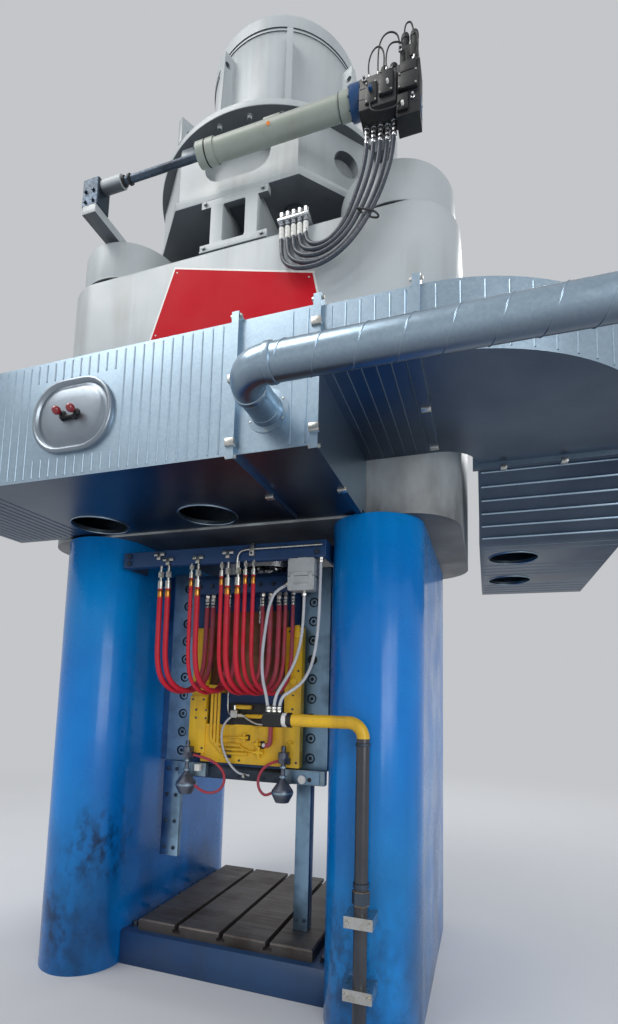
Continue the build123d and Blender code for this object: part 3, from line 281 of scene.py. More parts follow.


# %% [markdown]
# The columns are a strong, glossy blue, scuffed and dirty in three places near the floor and darker towards
# it. The crown and the drive are grey, with painted shade underneath and painted shade low on the crown
# where the ducts pass in front. Yellow marks the tooling and the service pipe. The small paints are for the
# sign, the knobs, the caps and the panel behind the hoses.

# %% The paints of the press
DUST = rgb(120, 112, 100)
SCUFFS = (((-0.60, -0.80, 0.69), 0.30, 0.95), ((-0.92, -0.83, 0.25), 0.35, 0.6),
          ((0.72, -0.80, 0.30), 0.4, 0.6))
keep(paint, "blue_paint", rgb(0, 124, 212), rgb(4, 146, 228), rgb(8, 50, 100), (0.18, 0.38), specks=0.5,
     coat=0.2, grime=0.8, scuffs=SCUFFS, specular=0.35)
keep(paint, "dark_blue_paint", rgb(24, 58, 104), rgb(36, 70, 108), rgb(34, 40, 48), (0.35, 0.6))
# The grey's band from 2.5 to 3.15 m is painted shade behind the ducts; what faces down gets painted shade.
keep(paint, "grey_paint", rgb(190, 197, 199), rgb(176, 184, 188), rgb(122, 112, 98), (0.3, 0.5), 0.6, 0.25,
     grime=0.85, grime_band=(2.5, 3.15), soot=0.85)
keep(paint, "pale_green_paint", rgb(158, 166, 156), rgb(144, 152, 144), DUST, (0.28, 0.45))
keep(paint, "yellow_paint", rgb(240, 192, 38), rgb(222, 176, 50), rgb(96, 72, 34), (0.35, 0.6), 1.0, 0.9,
     patches=9.0)
keep(paint, "black_paint", rgb(20, 21, 24), rgb(34, 35, 38), rgb(90, 86, 80), (0.35, 0.6), patches=5.0)
keep(paint, "red_sheet", rgb(190, 6, 26), rgb(198, 12, 34), rgb(140, 50, 56), (0.55, 0.7), 0.1, 0.1,
     specular=0.15)
keep(paint, "white_edge", rgb(232, 232, 228), rgb(222, 222, 218), DUST, (0.3, 0.45), 0.2, 0.1)
keep(paint, "knob_red", rgb(136, 14, 26), rgb(120, 12, 22), rgb(60, 20, 20), (0.12, 0.2), 0.1, 0.1, 0.8)
keep(paint, "flange_blue", rgb(18, 62, 110), rgb(24, 72, 120), rgb(20, 30, 40), (0.25, 0.4))
keep(paint, "rust_brown", rgb(104, 62, 38), rgb(128, 88, 58), rgb(44, 34, 30), (0.5, 0.75), 0.8, 0.8,
     patches=8.0)
keep(paint, "dot_orange", rgb(226, 130, 20), rgb(214, 120, 24), DUST, (0.3, 0.5), 0.1, 0.1)
keep(paint, "drop_dark", rgb(34, 40, 52), rgb(46, 52, 62), rgb(84, 80, 74), (0.3, 0.5), 0.9, 0.8, 0.2, 6.0)

# %% [markdown]
# Metals differ from paint in where their detail lies: the colour hardly changes, while the roughness does.
# Rolled, turned and ground steel show fine lines along one direction, so the noise is squeezed across it.

# %% Metal recipe
def metal(name, colour, stain, gloss=(0.25, 0.45), lines=(1, 1, 1), stains=0.5, scale=3.0, depth=0.3,
          shine=1.0):
    """Bare metal: stains in patches, roughness drawn out in fine lines, and a shallow bump along them."""
    material = blank(name, gloss[0], metallic=shine)
    patch = ramp(material, noise(material, scale, 6), 0.45, 0.72)
    tone = layered(material, colour, patch, stains, stain)
    fine = noise(material, 60, 5, lines, (2, 5, 8))
    uneven = ramp(material, fine, 0.3, 0.75, gloss[0], gloss[1])
    into_shader(material, tone, uneven, fine, 0.0008, depth)
    return material


# %% [markdown]
# Steel is dark on bolts, worn on the gibs and guides, bright where it is turned and pale where it is plated.
# The gibs' fine lines run upright, the way the slide rubs them, and the bolster's run along X, the way it is
# milled. Cast metal shines less than rolled steel, so it is mixed with some plain, unmetallic tone.

# %% The metals of the press
keep(metal, "dark_steel", rgb(84, 96, 110), rgb(48, 48, 50), (0.38, 0.62), stains=0.8)
keep(metal, "worn_steel", rgb(136, 166, 190), rgb(72, 92, 110), (0.34, 0.55), (1, 1, 0.05), 0.7, 7.0)
keep(metal, "bright_steel", rgb(206, 208, 212), rgb(150, 146, 140), (0.16, 0.34), stains=0.4)
keep(metal, "plated_steel", rgb(200, 200, 196), rgb(150, 140, 112), (0.22, 0.4), scale=30)
keep(metal, "cast_aluminium", rgb(186, 192, 194), rgb(130, 132, 132), (0.4, 0.6), scale=12, shine=0.4)
keep(metal, "bolster_steel", rgb(90, 86, 84), rgb(58, 48, 42), (0.42, 0.7), (0.05, 1, 1), 0.9, 5.0, shine=0.7)
keep(metal, "brass", rgb(214, 150, 72), rgb(150, 92, 44), (0.25, 0.42), scale=40)
keep(metal, "pale_steel", rgb(150, 172, 186), rgb(96, 108, 116), (0.34, 0.5), stains=0.7, scale=9, shine=0.8)
keep(metal, "cast_grey", rgb(110, 116, 128), rgb(70, 72, 78), (0.35, 0.5), stains=0.7, scale=20, shine=0.7)
keep(metal, "hatch_sheet", rgb(150, 160, 170), rgb(108, 118, 128), (0.3, 0.42), stains=0.4, depth=0.03)

# %% [markdown]
# Hoses are rubber: matt, slightly bumpy, with dust on what faces up. The rear legs of the red hoses are
# dusty all over, because scale falls behind them. The conduits and drive hoses use other colours.

# %% Rubber recipe
def rubber(name, colour, dust, gloss=(0.38, 0.6), dusty=0.5, behind=None):
    """Rubber or soft plastic: dust gathers in patches, on faces that look up, and behind a given depth Y."""
    material = blank(name, gloss[0], specular=0.35)
    patch = ramp(material, noise(material, 9, 5), 0.4, 0.75)
    settled = ramp(material, facing_up(material), -0.2, 1.0, 0.35, 1.0)
    share = combined(material, combined(material, patch, settled), dusty)
    if behind is not None:
        back = ramp(material, place_along(material, "Y"), behind - 0.1, behind + 0.1, 0.0, 0.75)
        thick = combined(material, back, ramp(material, patch, 0, 1, 0.6, 1))
        share = combined(material, share, thick, "MAXIMUM")
    tone = mixed(material, share, colour, dust)
    uneven = ramp(material, noise(material, 30, 4), 0.3, 0.7, gloss[0], gloss[1])
    into_shader(material, tone, uneven, noise(material, 420, 2), 0.0004, 0.35)
    return material


keep(rubber, "red_rubber", rgb(206, 30, 52), rgb(138, 92, 104), behind=-0.58)
keep(rubber, "grey_rubber", rgb(66, 72, 82), rgb(96, 98, 102), (0.2, 0.34), 0.3)
keep(rubber, "grey_conduit", rgb(196, 200, 206), rgb(140, 138, 132))

# %% [markdown]
# Zinc on the duct sheets shows a fine spangle of crystals and a soft, broad buckle. The buckle matters more
# than the crystals: it bends the reflections of the red sign and the blue columns as real thin sheet does.

# %% Zinc sheet
def zinc(name, sooty=0.95, gloss=0.33, flank_shade=0.0):
    """Galvanised sheet: crystals change tone and gloss a little, bloom lies in patches, and what faces down gets
    painted shade. The last setting paints shade on what faces up or down, which leaves the flank of a round
    pipe bright, a painted highlight band."""
    material = blank(name, gloss, metallic=1.0)
    place = wire(material, "TexCoord").outputs["Object"]
    crystal = wire(material, "TexVoronoi", {"Scale": 110}, {"Vector": place})
    share = wire(material, "SeparateColor", links={"Color": crystal.outputs["Color"]}).outputs[0]
    tone = mixed(material, share, rgb(164, 186, 204), rgb(174, 195, 210))
    bloom = ramp(material, noise(material, 2.4, 6), 0.5, 0.8)
    tone = layered(material, tone, bloom, 0.4, rgb(136, 154, 172))
    # Painted shade on what faces down, patchy in strength.
    under_shade_share = ramp(material, noise(material, 1.3, 5), 0.3, 0.7, 0.85 * sooty, sooty)
    tone = layered(material, tone, downward(material), under_shade_share, rgb(36, 48, 70))
    # Painted shade on what faces up or down, so that a round pipe's flank stays bright as a painted highlight
    # band.
    if flank_shade:
        far = ramp(material, combined(material, facing_up(material), None, "ABSOLUTE"), 0.45, 0.95)
        tone = layered(material, tone, far, flank_shade, rgb(74, 80, 94))
    uneven = ramp(material, share, 0, 1, gloss - 0.02, gloss + 0.02)
    into_shader(material, tone, uneven, noise(material, 2.3, 0), 0.03, 0.3)
    return material


keep(zinc, "galvanised")
# The branch pipe's zinc gets painted shade top and bottom and a painted highlight band on its flank.
keep(zinc, "pipe_zinc", 0.25, 0.3, 0.65)
print("finishes:", len(finishes))

# %% [markdown]
# A hose is a line first. Its points are listed: straight down out of the fitting, round the bottom of
# the loop and up to the manifold. A NURBS spline of order 3 rounds them into one smooth line. The order and
# the end points are set after the points, because a new spline falls back to straight runs.

# %% A smooth line through listed points
def smooth_line(name, points):
    """A NURBS spline that starts and ends at its outer points and passes near the others."""
    curve = bpy.data.curves.new(name, "CURVE")
    curve.dimensions = "3D"
    spline = curve.splines.new("NURBS")
    spline.points.add(len(points) - 1)
    for handle, place in zip(spline.points, points):
        handle.co = (*place, 1.0)
    spline.order_u = 3
    spline.use_endpoint_u = True
    spline.resolution_u = 10
    return bpy.data.objects.new(name, curve)


def points_on(line):
    """The points that Blender works out along the spline, without any thickness, in order."""
    bpy.context.scene.collection.objects.link(line)
    bpy.context.view_layer.update()
    drawn = bpy.data.meshes.new_from_object(line)
    path = np.empty(3 * len(drawn.vertices))
    drawn.vertices.foreach_get("co", path)
    bpy.data.objects.remove(line)
    bpy.data.meshes.remove(drawn)
    return path.reshape(-1, 3)


# %% [markdown]
# All new pieces are surfaces worked out as whole arrays: a grid of points, and quads between neighbours.
# Modelling by hand would do as well, but a formula is quick to change and never leaves a gap. These are the
# tools: a grid's faces, a shape turned right side out, several shapes in one, and a shape set round the
# press's axis.

# %% Grids and whole shapes
def grid_faces(rows, columns):
    """Quads of a grid of points numbered row by row; the last column joins the first."""
    number = np.arange(rows * columns).reshape(rows, columns)
    number = np.hstack([number, number[:, :1]])
    corners = (number[:-1, :-1], number[:-1, 1:], number[1:, 1:], number[1:, :-1])
    return np.stack(corners, axis=-1).reshape(-1, 4)


def outward(points, faces):
    """Right side out: the pyramids from the shape's middle to its faces must add up to more than nothing."""
    from_middle = points - points.mean(axis=0)
    volume = 0.0
    for block in faces:
        corner = from_middle[block]
        for k in range(1, block.shape[1] - 1):
            volume += np.einsum("ij,ij->", corner[:, 0], np.cross(corner[:, k], corner[:, k + 1]))
    return points, [block[:, ::-1] if volume < 0 else block for block in faces]


def capped_grid(points):
    """A shape from a grid of rings, points[row, column]: quads between the rings and a face over each end."""
    rows, columns = points.shape[:2]
    first = np.arange(columns)[None, ::-1]
    last = np.arange(columns)[None] + (rows - 1) * columns
    return outward(points.reshape(-1, 3), [grid_faces(rows, columns), first, last])


def joined(*shapes):
    """Several shapes as one: the points in a row, the face numbers moved on by the points before them."""
    points, faces, start = [], [], 0
    for shape_points, shape_faces in shapes:
        points.append(shape_points)
        faces += [block + start for block in shape_faces]
        start += len(shape_points)
    return np.concatenate(points), faces


def spun(shape, turns):
    """The shape turned about the press's upright axis by each angle in degrees: x cos - y sin, x sin + y cos."""
    out = []
    for turn in np.radians(turns):
        spin = np.array([[cos(turn), -sin(turn), 0], [sin(turn), cos(turn), 0], [0, 0, 1]])
        out.append((shape[0] @ spin.T, shape[1]))
    return joined(*out)


print("three rings of eight points make", len(grid_faces(3, 8)), "quads")

# %% [markdown]
# A shape becomes a piece in one step: its doubles are merged, edges sharper than a crease angle stay sharp,
# and it gets its finish, looked up by its slot's name, and the body that it rides on. One function for this
# keeps all pieces alike and the rest of the lesson short.

# %% From a shape to a piece
def piece(name, shape, body, slot, crease=40, look=None):
    """Make a mesh of a shape, or of a list of shapes, smooth it up to the crease angle, and let it ride on a
    body. Its finish is the slot's own, or the one that look names."""
    points, faces = joined(*shape) if isinstance(shape, list) else shape
    mesh = bpy.data.meshes.new(name)
    mesh.from_pydata(points.tolist(), [], [face for block in faces for face in block.tolist()])
    work = bmesh.new()
    work.from_mesh(mesh)
    bmesh.ops.remove_doubles(work, verts=work.verts, dist=1e-6)
    work.to_mesh(mesh)
    work.free()
    mesh.polygons.foreach_set("use_smooth", np.ones(len(mesh.polygons), bool))
    mesh.set_sharp_from_angle(angle=radians(crease))
    mesh.materials.append(finishes[look or slot])
    made = bpy.data.objects.new(name, mesh)
    bpy.context.scene.collection.objects.link(made)
    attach(made, body)
    print(name, "has", len(mesh.polygons), "faces")
    return made


# %% [markdown]
# Bolts, nuts, rings and caps are turned on a lathe, and a turned shape is a profile carried round an axis.
# Some of its rows can be hexagons, which makes a nut or a bolt's head. Hoses and pipes are a circle carried
# along a path. With these two, most small fittings of a machine need one line each.

# %% Turned shapes and tubes
UP, DOWN, TO_RIGHT, TO_FRONT, TO_BACK = (0, 0, 1), (0, 0, -1), (1, 0, 0), (0, -1, 0), (0, 1, 0)


def across(axis):
    """A unit axis and two unit directions square to it, by cross products."""
    axis = np.array(axis, float)
    axis /= np.linalg.norm(axis)
    first = np.cross(np.eye(3)[np.argmin(np.abs(axis))], axis)
    first /= np.linalg.norm(first)
    return axis, first, np.cross(axis, first)


def turned(profile, foot, axis=UP, sides=24, six=(), twist=0.0):
    """A profile of (distance along, radius) turned round an axis:
    point = foot + along * axis + radius * (cos a * first + sin a * second).
    The rows named in six are hexagons: their radius is multiplied by cos 30 / cos((a mod 60) - 30).
    Both ends are closed."""
    along, radius = np.array(profile, float).T
    axis, first, second = across(axis)
    angle = np.linspace(0, 2 * pi, sides, endpoint=False) + twist
    radius = np.repeat(radius[:, None], sides, axis=1)
    if six:
        flat = cos(pi / 6) / np.cos(np.mod(angle - twist, pi / 3) - pi / 6)
        radius[list(six)] *= flat
    ring = np.outer(np.cos(angle), first) + np.outer(np.sin(angle), second)
    return capped_grid(np.array(foot, float) + along[:, None, None] * axis + radius[:, :, None] * ring)


def tube(path, radius, side=(0.3, 0.2, 0.9), sides=16):
    """A circle carried along a path: the ring's two directions are tangent x side, made unit, and its cross
    product with the tangent. point = path + radius * (cos a * first + sin a * second)."""
    path = np.array(path, float)
    tangent = np.gradient(path, axis=0)
    tangent /= np.linalg.norm(tangent, axis=1)[:, None]
    first = np.cross(tangent, np.array(side, float))
    first /= np.linalg.norm(first, axis=1)[:, None]
    second = np.cross(tangent, first)
    angle = np.linspace(0, 2 * pi, sides, endpoint=False)[None, :, None]
    radius = np.broadcast_to(np.array(radius, float), len(path))[:, None, None]
    ring = np.cos(angle) * first[:, None] + np.sin(angle) * second[:, None]
    return capped_grid(path[:, None] + radius * ring)


def pipe(points, radius, sides=12):
    """A rigid bent pipe along the smooth line of listed points."""
    return tube(points_on(smooth_line("pipe_line", points)), radius, sides=sides)


print("a turned plate of 24 sides has", len(turned([(0, 1), (0.1, 1)], (0, 0, 0))[0]), "points")


# %% [markdown]
# Blocks, plates and covers are boxes whose edges are rounded by a known radius. Such a box is a sphere cut
# at its middle planes and pulled apart: each point of a small sphere moves out to its own corner of the box.
# Oval lids and rims are the outline of a rounded rectangle, drawn again and again, each time further in.

# %% Rounded boxes, oval lids and beads
def rounded_box(low, high, radius=0.004, steps=2):
    """Box with rounded edges: point = middle + radius * n + sign(n) * (half size - radius), n on a sphere."""
    low, high = np.array(low, float), np.array(high, float)
    radius = min(radius, 0.49 * float((high - low).min()))
    quarter = np.linspace(0, pi / 2, steps + 1)
    around = np.concatenate([quarter + k * pi / 2 for k in range(4)])
    around_sign = np.array([[1, 1], [-1, 1], [-1, -1], [1, -1]], float).repeat(steps + 1, axis=0)
    rise = np.concatenate([quarter - pi / 2, quarter])
    rise_sign = np.array([-1.0] * (steps + 1) + [1.0] * (steps + 1))
    flat = np.cos(rise)[:, None, None] * np.stack([np.cos(around), np.sin(around)], axis=-1)
    ball = np.concatenate([flat, np.repeat(np.sin(rise)[:, None, None], len(around), axis=1)], axis=-1)
    signs = np.concatenate([np.repeat(around_sign[None], len(rise), axis=0),
                            np.repeat(rise_sign[:, None, None], len(around), axis=1)], axis=-1)
    return capped_grid((low + high) / 2 + radius * ball + signs * ((high - low) / 2 - radius))


def boxes(*rows):
    """A rounded box for each row of its low corner, its high corner and its edge radius."""
    return [rounded_box(row[:3], row[3:6], *row[6:]) for row in rows]


def oval_rings(width, height, radius, profile, centre, normal=TO_FRONT):
    """Rings of a rounded rectangle in a wall's plane. A ring of the profile (inset, proud) is the outline
    with half sizes and corner radius less the inset, moved out of the wall by proud."""
    normal = np.array(normal, float)
    flat = -np.cross(normal, upright)
    corner = 8
    quarter = np.linspace(0, pi / 2, corner)
    angle = np.concatenate([quarter + k * pi / 2 for k in range(4)])
    sign = np.array([[1, 1], [-1, 1], [-1, -1], [1, -1]], float).repeat(corner, axis=0)
    rings = []
    for inset, proud in profile:
        arc = max(radius - inset, 1e-4)
        half = np.array([width / 2 - inset, height / 2 - inset]) - arc
        outline = sign * half + arc * np.stack([np.cos(angle), np.sin(angle)], axis=-1)
        rings.append(np.array(centre) + outline[:, :1] * flat + outline[:, 1:] * upright + proud * normal)
    return capped_grid(np.array(rings))


def beads(starts, ends, normal, half_width=0.004, height=0.003):
    """Low round ridges pressed into sheet, all at once: five points of a half ellipse across each bead, at
    both ends. point = end + cos a * half_width * sideways + sin a * height * normal."""
    starts, ends = np.array(starts, float), np.array(ends, float)
    normal = np.broadcast_to(np.array(normal, float), starts.shape)
    sideways = np.cross(ends - starts, normal)
    sideways /= np.linalg.norm(sideways, axis=1)[:, None]
    angle = np.linspace(0, pi, 5)[None, :, None]
    section = np.cos(angle) * half_width * sideways[:, None] + np.sin(angle) * height * normal[:, None]
    points = np.stack([starts[:, None] + section, ends[:, None] + section], axis=1)
    flanks = [[k, k + 1, k + 6, k + 5] for k in range(4)] + [[4, 0, 5, 9]]
    one = [np.array(block) for block in (flanks, [[4, 3, 2, 1, 0]], [[5, 6, 7, 8, 9]])]
    one = outward(points[0].reshape(-1, 3), one)[1]
    each = 10 * np.arange(len(starts))[:, None, None]
    return points.reshape(-1, 3), [(block + each).reshape(-1, block.shape[1]) for block in one]


print("a rounded box has", len(rounded_box((0, 0, 0), (1, 1, 1))[0]), "points")

# %% [markdown]
# Nine red hoses hang from the rail in front of the slide and come up behind to its manifold, so that they
# pay out as the slide goes down. Their front legs stay with the frame and their rear legs go with the slide.
# Each is one mesh tube along its loop, and it rides on no body.

# %% Red hoses
RED_ROUTES = [
    (0.030, 1.359, [
        (-0.363, -0.765, 2.145), (-0.363, -0.765, 1.960), (-0.359, -0.763, 1.668), (-0.322, -0.676, 1.567),
        (-0.266, -0.553, 1.565), (-0.230, -0.464, 1.664), (-0.226, -0.460, 1.910), (-0.226, -0.460, 2.160)]),
    (0.030, 1.348, [
        (-0.313, -0.765, 2.145), (-0.313, -0.765, 1.962), (-0.309, -0.763, 1.672), (-0.275, -0.675, 1.571),
        (-0.222, -0.552, 1.570), (-0.189, -0.464, 1.670), (-0.185, -0.460, 1.914), (-0.185, -0.460, 2.160)]),
    (0.022, 1.413, [
        (-0.164, -0.765, 2.200), (-0.164, -0.765, 1.950), (-0.161, -0.763, 1.660), (-0.138, -0.674, 1.561),
        (-0.102, -0.551, 1.560), (-0.080, -0.464, 1.660), (-0.077, -0.460, 1.908), (-0.077, -0.460, 2.160)]),
    (0.030, 1.337, [
        (-0.121, -0.765, 2.145), (-0.121, -0.765, 1.964), (-0.117, -0.763, 1.674), (-0.092, -0.675, 1.573),
        (-0.052, -0.552, 1.572), (-0.026, -0.464, 1.670), (-0.023, -0.460, 1.912), (-0.023, -0.460, 2.160)]),
    (0.022, 1.418, [
        (0.026, -0.765, 2.200), (0.026, -0.765, 1.952), (0.030, -0.763, 1.664), (0.062, -0.674, 1.563),
        (0.112, -0.551, 1.561), (0.143, -0.464, 1.661), (0.146, -0.460, 1.906), (0.146, -0.460, 2.160)]),
    (0.030, 1.353, [
        (0.066, -0.765, 2.145), (0.066, -0.765, 1.960), (0.071, -0.763, 1.670), (0.105, -0.675, 1.569),
        (0.159, -0.552, 1.568), (0.194, -0.464, 1.667), (0.197, -0.460, 1.912), (0.197, -0.460, 2.160)]),
    (0.030, 1.353, [
        (0.127, -0.765, 2.145), (0.127, -0.765, 1.962), (0.131, -0.763, 1.667), (0.165, -0.676, 1.566),
        (0.217, -0.556, 1.565), (0.251, -0.470, 1.664), (0.254, -0.466, 1.910), (0.254, -0.466, 2.160)]),
    (0.022, 1.392, [
        (0.171, -0.765, 2.200), (0.171, -0.765, 1.950), (0.174, -0.763, 1.672), (0.208, -0.677, 1.571),
        (0.260, -0.562, 1.570), (0.294, -0.478, 1.669), (0.297, -0.474, 1.908), (0.297, -0.474, 2.160)]),
    (0.022, 1.403, [
        (0.219, -0.765, 2.200), (0.219, -0.765, 1.952), (0.222, -0.763, 1.666), (0.256, -0.677, 1.566),
        (0.308, -0.562, 1.564), (0.341, -0.478, 1.663), (0.344, -0.474, 1.906), (0.344, -0.474, 2.160)]),
]
for count, (width, length, route) in enumerate(RED_ROUTES, 1):
    path = points_on(smooth_line(f"line_{count}", route))
    hose = piece(f"red_hose_tube_{count}", tube(path, width / 2, (1, -0.4, 0)), "ram", "red_rubber", 60)
    hose.parent = None
    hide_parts(f"red_hose_{count}")
    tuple(route[0])
    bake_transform(hose)
print("red hoses:", len(RED_ROUTES), "points along the last:", len(path))

# %% [markdown]
# The five drive hoses and the three conduits move with nothing, so they can stay curves. Blender gives a
# curve its thickness with a round bevel.

# %% Drive hoses and conduits
STILL_ROUTES = {
    "drive_hose_1": (0.024, 1.402, [
        (0.333, -0.812, 4.190), (0.333, -0.812, 4.060), (0.362, -0.846, 3.930), (0.462, -0.876, 3.846),
        (0.604, -0.884, 3.832), (0.748, -0.886, 3.908), (0.868, -0.888, 4.068), (0.946, -0.888, 4.250),
        (0.979, -0.888, 4.410), (0.979, -0.888, 4.560)]),
    "drive_hose_2": (0.024, 1.276, [
        (0.369, -0.812, 4.190), (0.369, -0.812, 4.070), (0.398, -0.842, 3.956), (0.486, -0.860, 3.884),
        (0.606, -0.864, 3.874), (0.734, -0.866, 3.944), (0.842, -0.868, 4.096), (0.914, -0.872, 4.270),
        (0.942, -0.876, 4.415), (0.942, -0.876, 4.560)]),
    "drive_hose_3": (0.024, 1.155, [
        (0.405, -0.812, 4.190), (0.405, -0.812, 4.080), (0.432, -0.842, 3.982), (0.508, -0.860, 3.922),
        (0.612, -0.866, 3.916), (0.720, -0.868, 3.980), (0.814, -0.870, 4.122), (0.880, -0.876, 4.285),
        (0.906, -0.882, 4.420), (0.906, -0.882, 4.560)]),
    "drive_hose_4": (0.024, 1.034, [
        (0.441, -0.812, 4.190), (0.441, -0.812, 4.090), (0.466, -0.836, 4.008), (0.532, -0.852, 3.960),
        (0.618, -0.858, 3.958), (0.708, -0.862, 4.018), (0.788, -0.868, 4.150), (0.846, -0.876, 4.300),
        (0.870, -0.884, 4.425), (0.870, -0.884, 4.560)]),
    "drive_hose_5": (0.024, 0.920, [
        (0.477, -0.812, 4.190), (0.477, -0.812, 4.105), (0.500, -0.830, 4.034), (0.556, -0.844, 3.992),
        (0.628, -0.850, 3.996), (0.698, -0.856, 4.056), (0.762, -0.866, 4.178), (0.812, -0.876, 4.315),
        (0.834, -0.886, 4.430), (0.834, -0.886, 4.560)]),
    "conduit_1": (0.016, 0.766, [
        (0.430, -0.745, 2.150), (0.350, -0.748, 2.124), (0.314, -0.760, 2.040), (0.307, -0.785, 1.900),
        (0.312, -0.828, 1.760), (0.336, -0.868, 1.640), (0.374, -0.896, 1.555), (0.390, -0.900, 1.475)]),
    "conduit_2": (0.016, 0.672, [
        (0.505, -0.745, 2.106), (0.505, -0.745, 1.960), (0.500, -0.773, 1.810), (0.478, -0.818, 1.695),
        (0.444, -0.868, 1.610), (0.418, -0.900, 1.542), (0.418, -0.900, 1.475)]),
    "conduit_3": (0.016, 0.879, [
        (0.592, -0.745, 2.280), (0.592, -0.745, 2.100), (0.590, -0.757, 1.890), (0.577, -0.787, 1.730),
        (0.547, -0.835, 1.630), (0.501, -0.878, 1.582), (0.446, -0.900, 1.545), (0.446, -0.900, 1.475)]),
}


def still_cord(name, width, length, route, slot, body):
    """A cord that stays a curve: its thickness is a round bevel and it rides on one body."""
    cord = smooth_line(name, route)
    cord.data.bevel_depth = width / 2
    cord.data.bevel_resolution = 4
    cord.data.use_fill_caps = True
    cord.data.materials.append(finishes[slot])
    bpy.context.scene.collection.objects.link(cord)
    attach(cord, body)
    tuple(route[0])
    return cord


for node, (width, length, route) in STILL_ROUTES.items():
    drive = node.startswith("drive")
    cord = still_cord(node + "_line", width, length, route, "grey_rubber" if drive else "grey_conduit", "frame")
    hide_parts(node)
print("still cords:", len(STILL_ROUTES))

# %% [markdown]
# On the slide itself a white air hose hangs from the middle fitting to the foot, and each damper has a short
# red loop. They are too thin for the solids, but they are real hoses, so they are curves of one spline too.

# %% Small hoses on the slide
SLIDE_ROUTES = {
    "air_hose": (0.013, "grey_conduit", [
        (-0.016, -0.462, 1.432), (-0.050, -0.464, 1.412), (-0.080, -0.468, 1.368), (-0.088, -0.470, 1.310),
        (-0.076, -0.470, 1.240), (-0.046, -0.466, 1.172), (-0.004, -0.456, 1.118), (0.040, -0.446, 1.090),
        (0.074, -0.408, 1.084)]),
    "damper_loop_left": (0.016, "red_rubber", [
        (-0.266, -0.476, 1.190), (-0.215, -0.474, 1.182), (-0.130, -0.474, 1.160), (-0.062, -0.476, 1.112),
        (-0.046, -0.480, 1.050), (-0.076, -0.484, 0.996), (-0.140, -0.488, 0.974), (-0.205, -0.490, 0.990),
        (-0.246, -0.490, 1.020)]),
    "damper_loop_right": (0.016, "red_rubber", [
        (0.287, -0.476, 1.188), (0.240, -0.474, 1.176), (0.188, -0.474, 1.140), (0.160, -0.476, 1.086),
        (0.166, -0.480, 1.030), (0.200, -0.486, 0.994), (0.235, -0.490, 0.998), (0.268, -0.490, 1.020)]),
}
for name, (width, slot, route) in SLIDE_ROUTES.items():
    drawn = points_on(smooth_line(name + "_trial", route))
    length = round(float(np.linalg.norm(np.diff(drawn, axis=0), axis=1).sum()), 3)
    still_cord(name, width, length, route, slot, "ram")
    print(name, "is", length, "m long")

# %% [markdown]
# Every hose ends in something: a swaged ferrule, a nut, and on the front of the press a band of brass. They
# are all turned shapes, so a profile of distances and radii is enough, and hexagon rows make the nuts.

# %% Hose ends
def rod(radius, length):
    """Profile of a plain round bar: the same radius from end to end."""
    return [(0, radius), (length, radius)]


def band(radius, lip, length, edge):
    """Profile of a ring: its radius in the middle, and down to the lip over an edge at both ends."""
    return [(0, lip), (edge, radius), (length - edge, radius), (length, lip)]


def nut(radius, lip, length, edge, foot, axis=UP, sides=24, twist=0.0):
    """A band whose four rows are all hexagons."""
    return turned(band(radius, lip, length, edge), foot, axis, sides, (0, 1, 2, 3), twist)


def ferrule(radius, length):
    """Profile of a swaged ferrule: small grooves pressed into a sleeve."""
    grooves = [(0, 0.86), (0.04, 1), (0.25, 1), (0.29, 0.9), (0.36, 0.9), (0.40, 1), (0.55, 1), (0.59, 0.9),
               (0.66, 0.9), (0.70, 1), (0.96, 1), (1, 0.86)]
    return [(share * length, scale * radius) for share, scale in grooves]


front_bands, rear_sleeves, rear_nuts = [], [], []
for width, length, route in RED_ROUTES:
    head, tail, reach = np.array(route[0]), np.array(route[-1]), width / 2
    front_bands.append(turned(band(reach + 0.0014, reach + 0.0002, 0.040, 0.004), head - (0, 0, 0.048), sides=20))
    rear_sleeves.append(turned(ferrule(reach + 0.002, 0.058), tail - (0, 0, 0.078), sides=20))
    rear_nuts.append(nut(reach + 0.004, reach + 0.002, 0.018, 0.001, tail - (0, 0, 0.019)))
piece("hose_bands", front_bands, "frame", "plated_steel", look="brass")
piece("rear_hose_ferrules", rear_sleeves, "ram", "plated_steel")
piece("rear_hose_nuts", rear_nuts, "ram", "plated_steel", 25)

drive_ends, drive_sleeves, drive_nuts = [], [], []
for node, (width, length, route) in STILL_ROUTES.items():
    if node.startswith("drive"):
        head, tail = np.array(route[0]), np.array(route[-1])
        drive_sleeves.append(turned(ferrule(0.0155, 0.075), head - (0, 0, 0.085), sides=20))
        drive_ends.append(turned(ferrule(0.0145, 0.085), tail - (0, 0, 0.105), sides=20))
        drive_nuts.append(nut(0.0165, 0.014, 0.020, 0.001, tail - (0, 0, 0.0205)))
        drive_nuts.append(nut(0.0185, 0.0175, 0.018, 0.001, head + (0, 0, 0.032)))
piece("drive_hose_sleeves", drive_sleeves, "frame", "plated_steel", look="white_edge")
piece("drive_hose_ends", drive_ends, "frame", "bright_steel")
piece("drive_hose_nuts", drive_nuts, "frame", "bright_steel", 25)
tie_line = [(0.792, -0.902, 4.088), (0.800, -0.862, 4.100), (0.860, -0.852, 4.060), (0.905, -0.870, 4.030),
            (0.896, -0.906, 4.030), (0.845, -0.908, 4.062), (0.792, -0.902, 4.088)]
piece("drive_hose_tie", pipe(tie_line, 0.005, 8), "frame", "black_paint")

# %% [markdown]
# Small T-shaped clamps grip the steel stems on the face of the rail, and a thin steel pipe leaves one of the
# hoses and runs off along the rail. Blocks with rounded edges and a bent pipe are all it takes.

# %% Rail clamps and rail pipe
def small_bolt(radius, place):
    """A small hexagon bolt that looks to the front: barely wider at its top, then chamfered."""
    return turned([(0, radius), (0.005, radius + 0.0005), (0.006, radius - 0.001)], place, TO_FRONT, 12, (0, 1, 2))


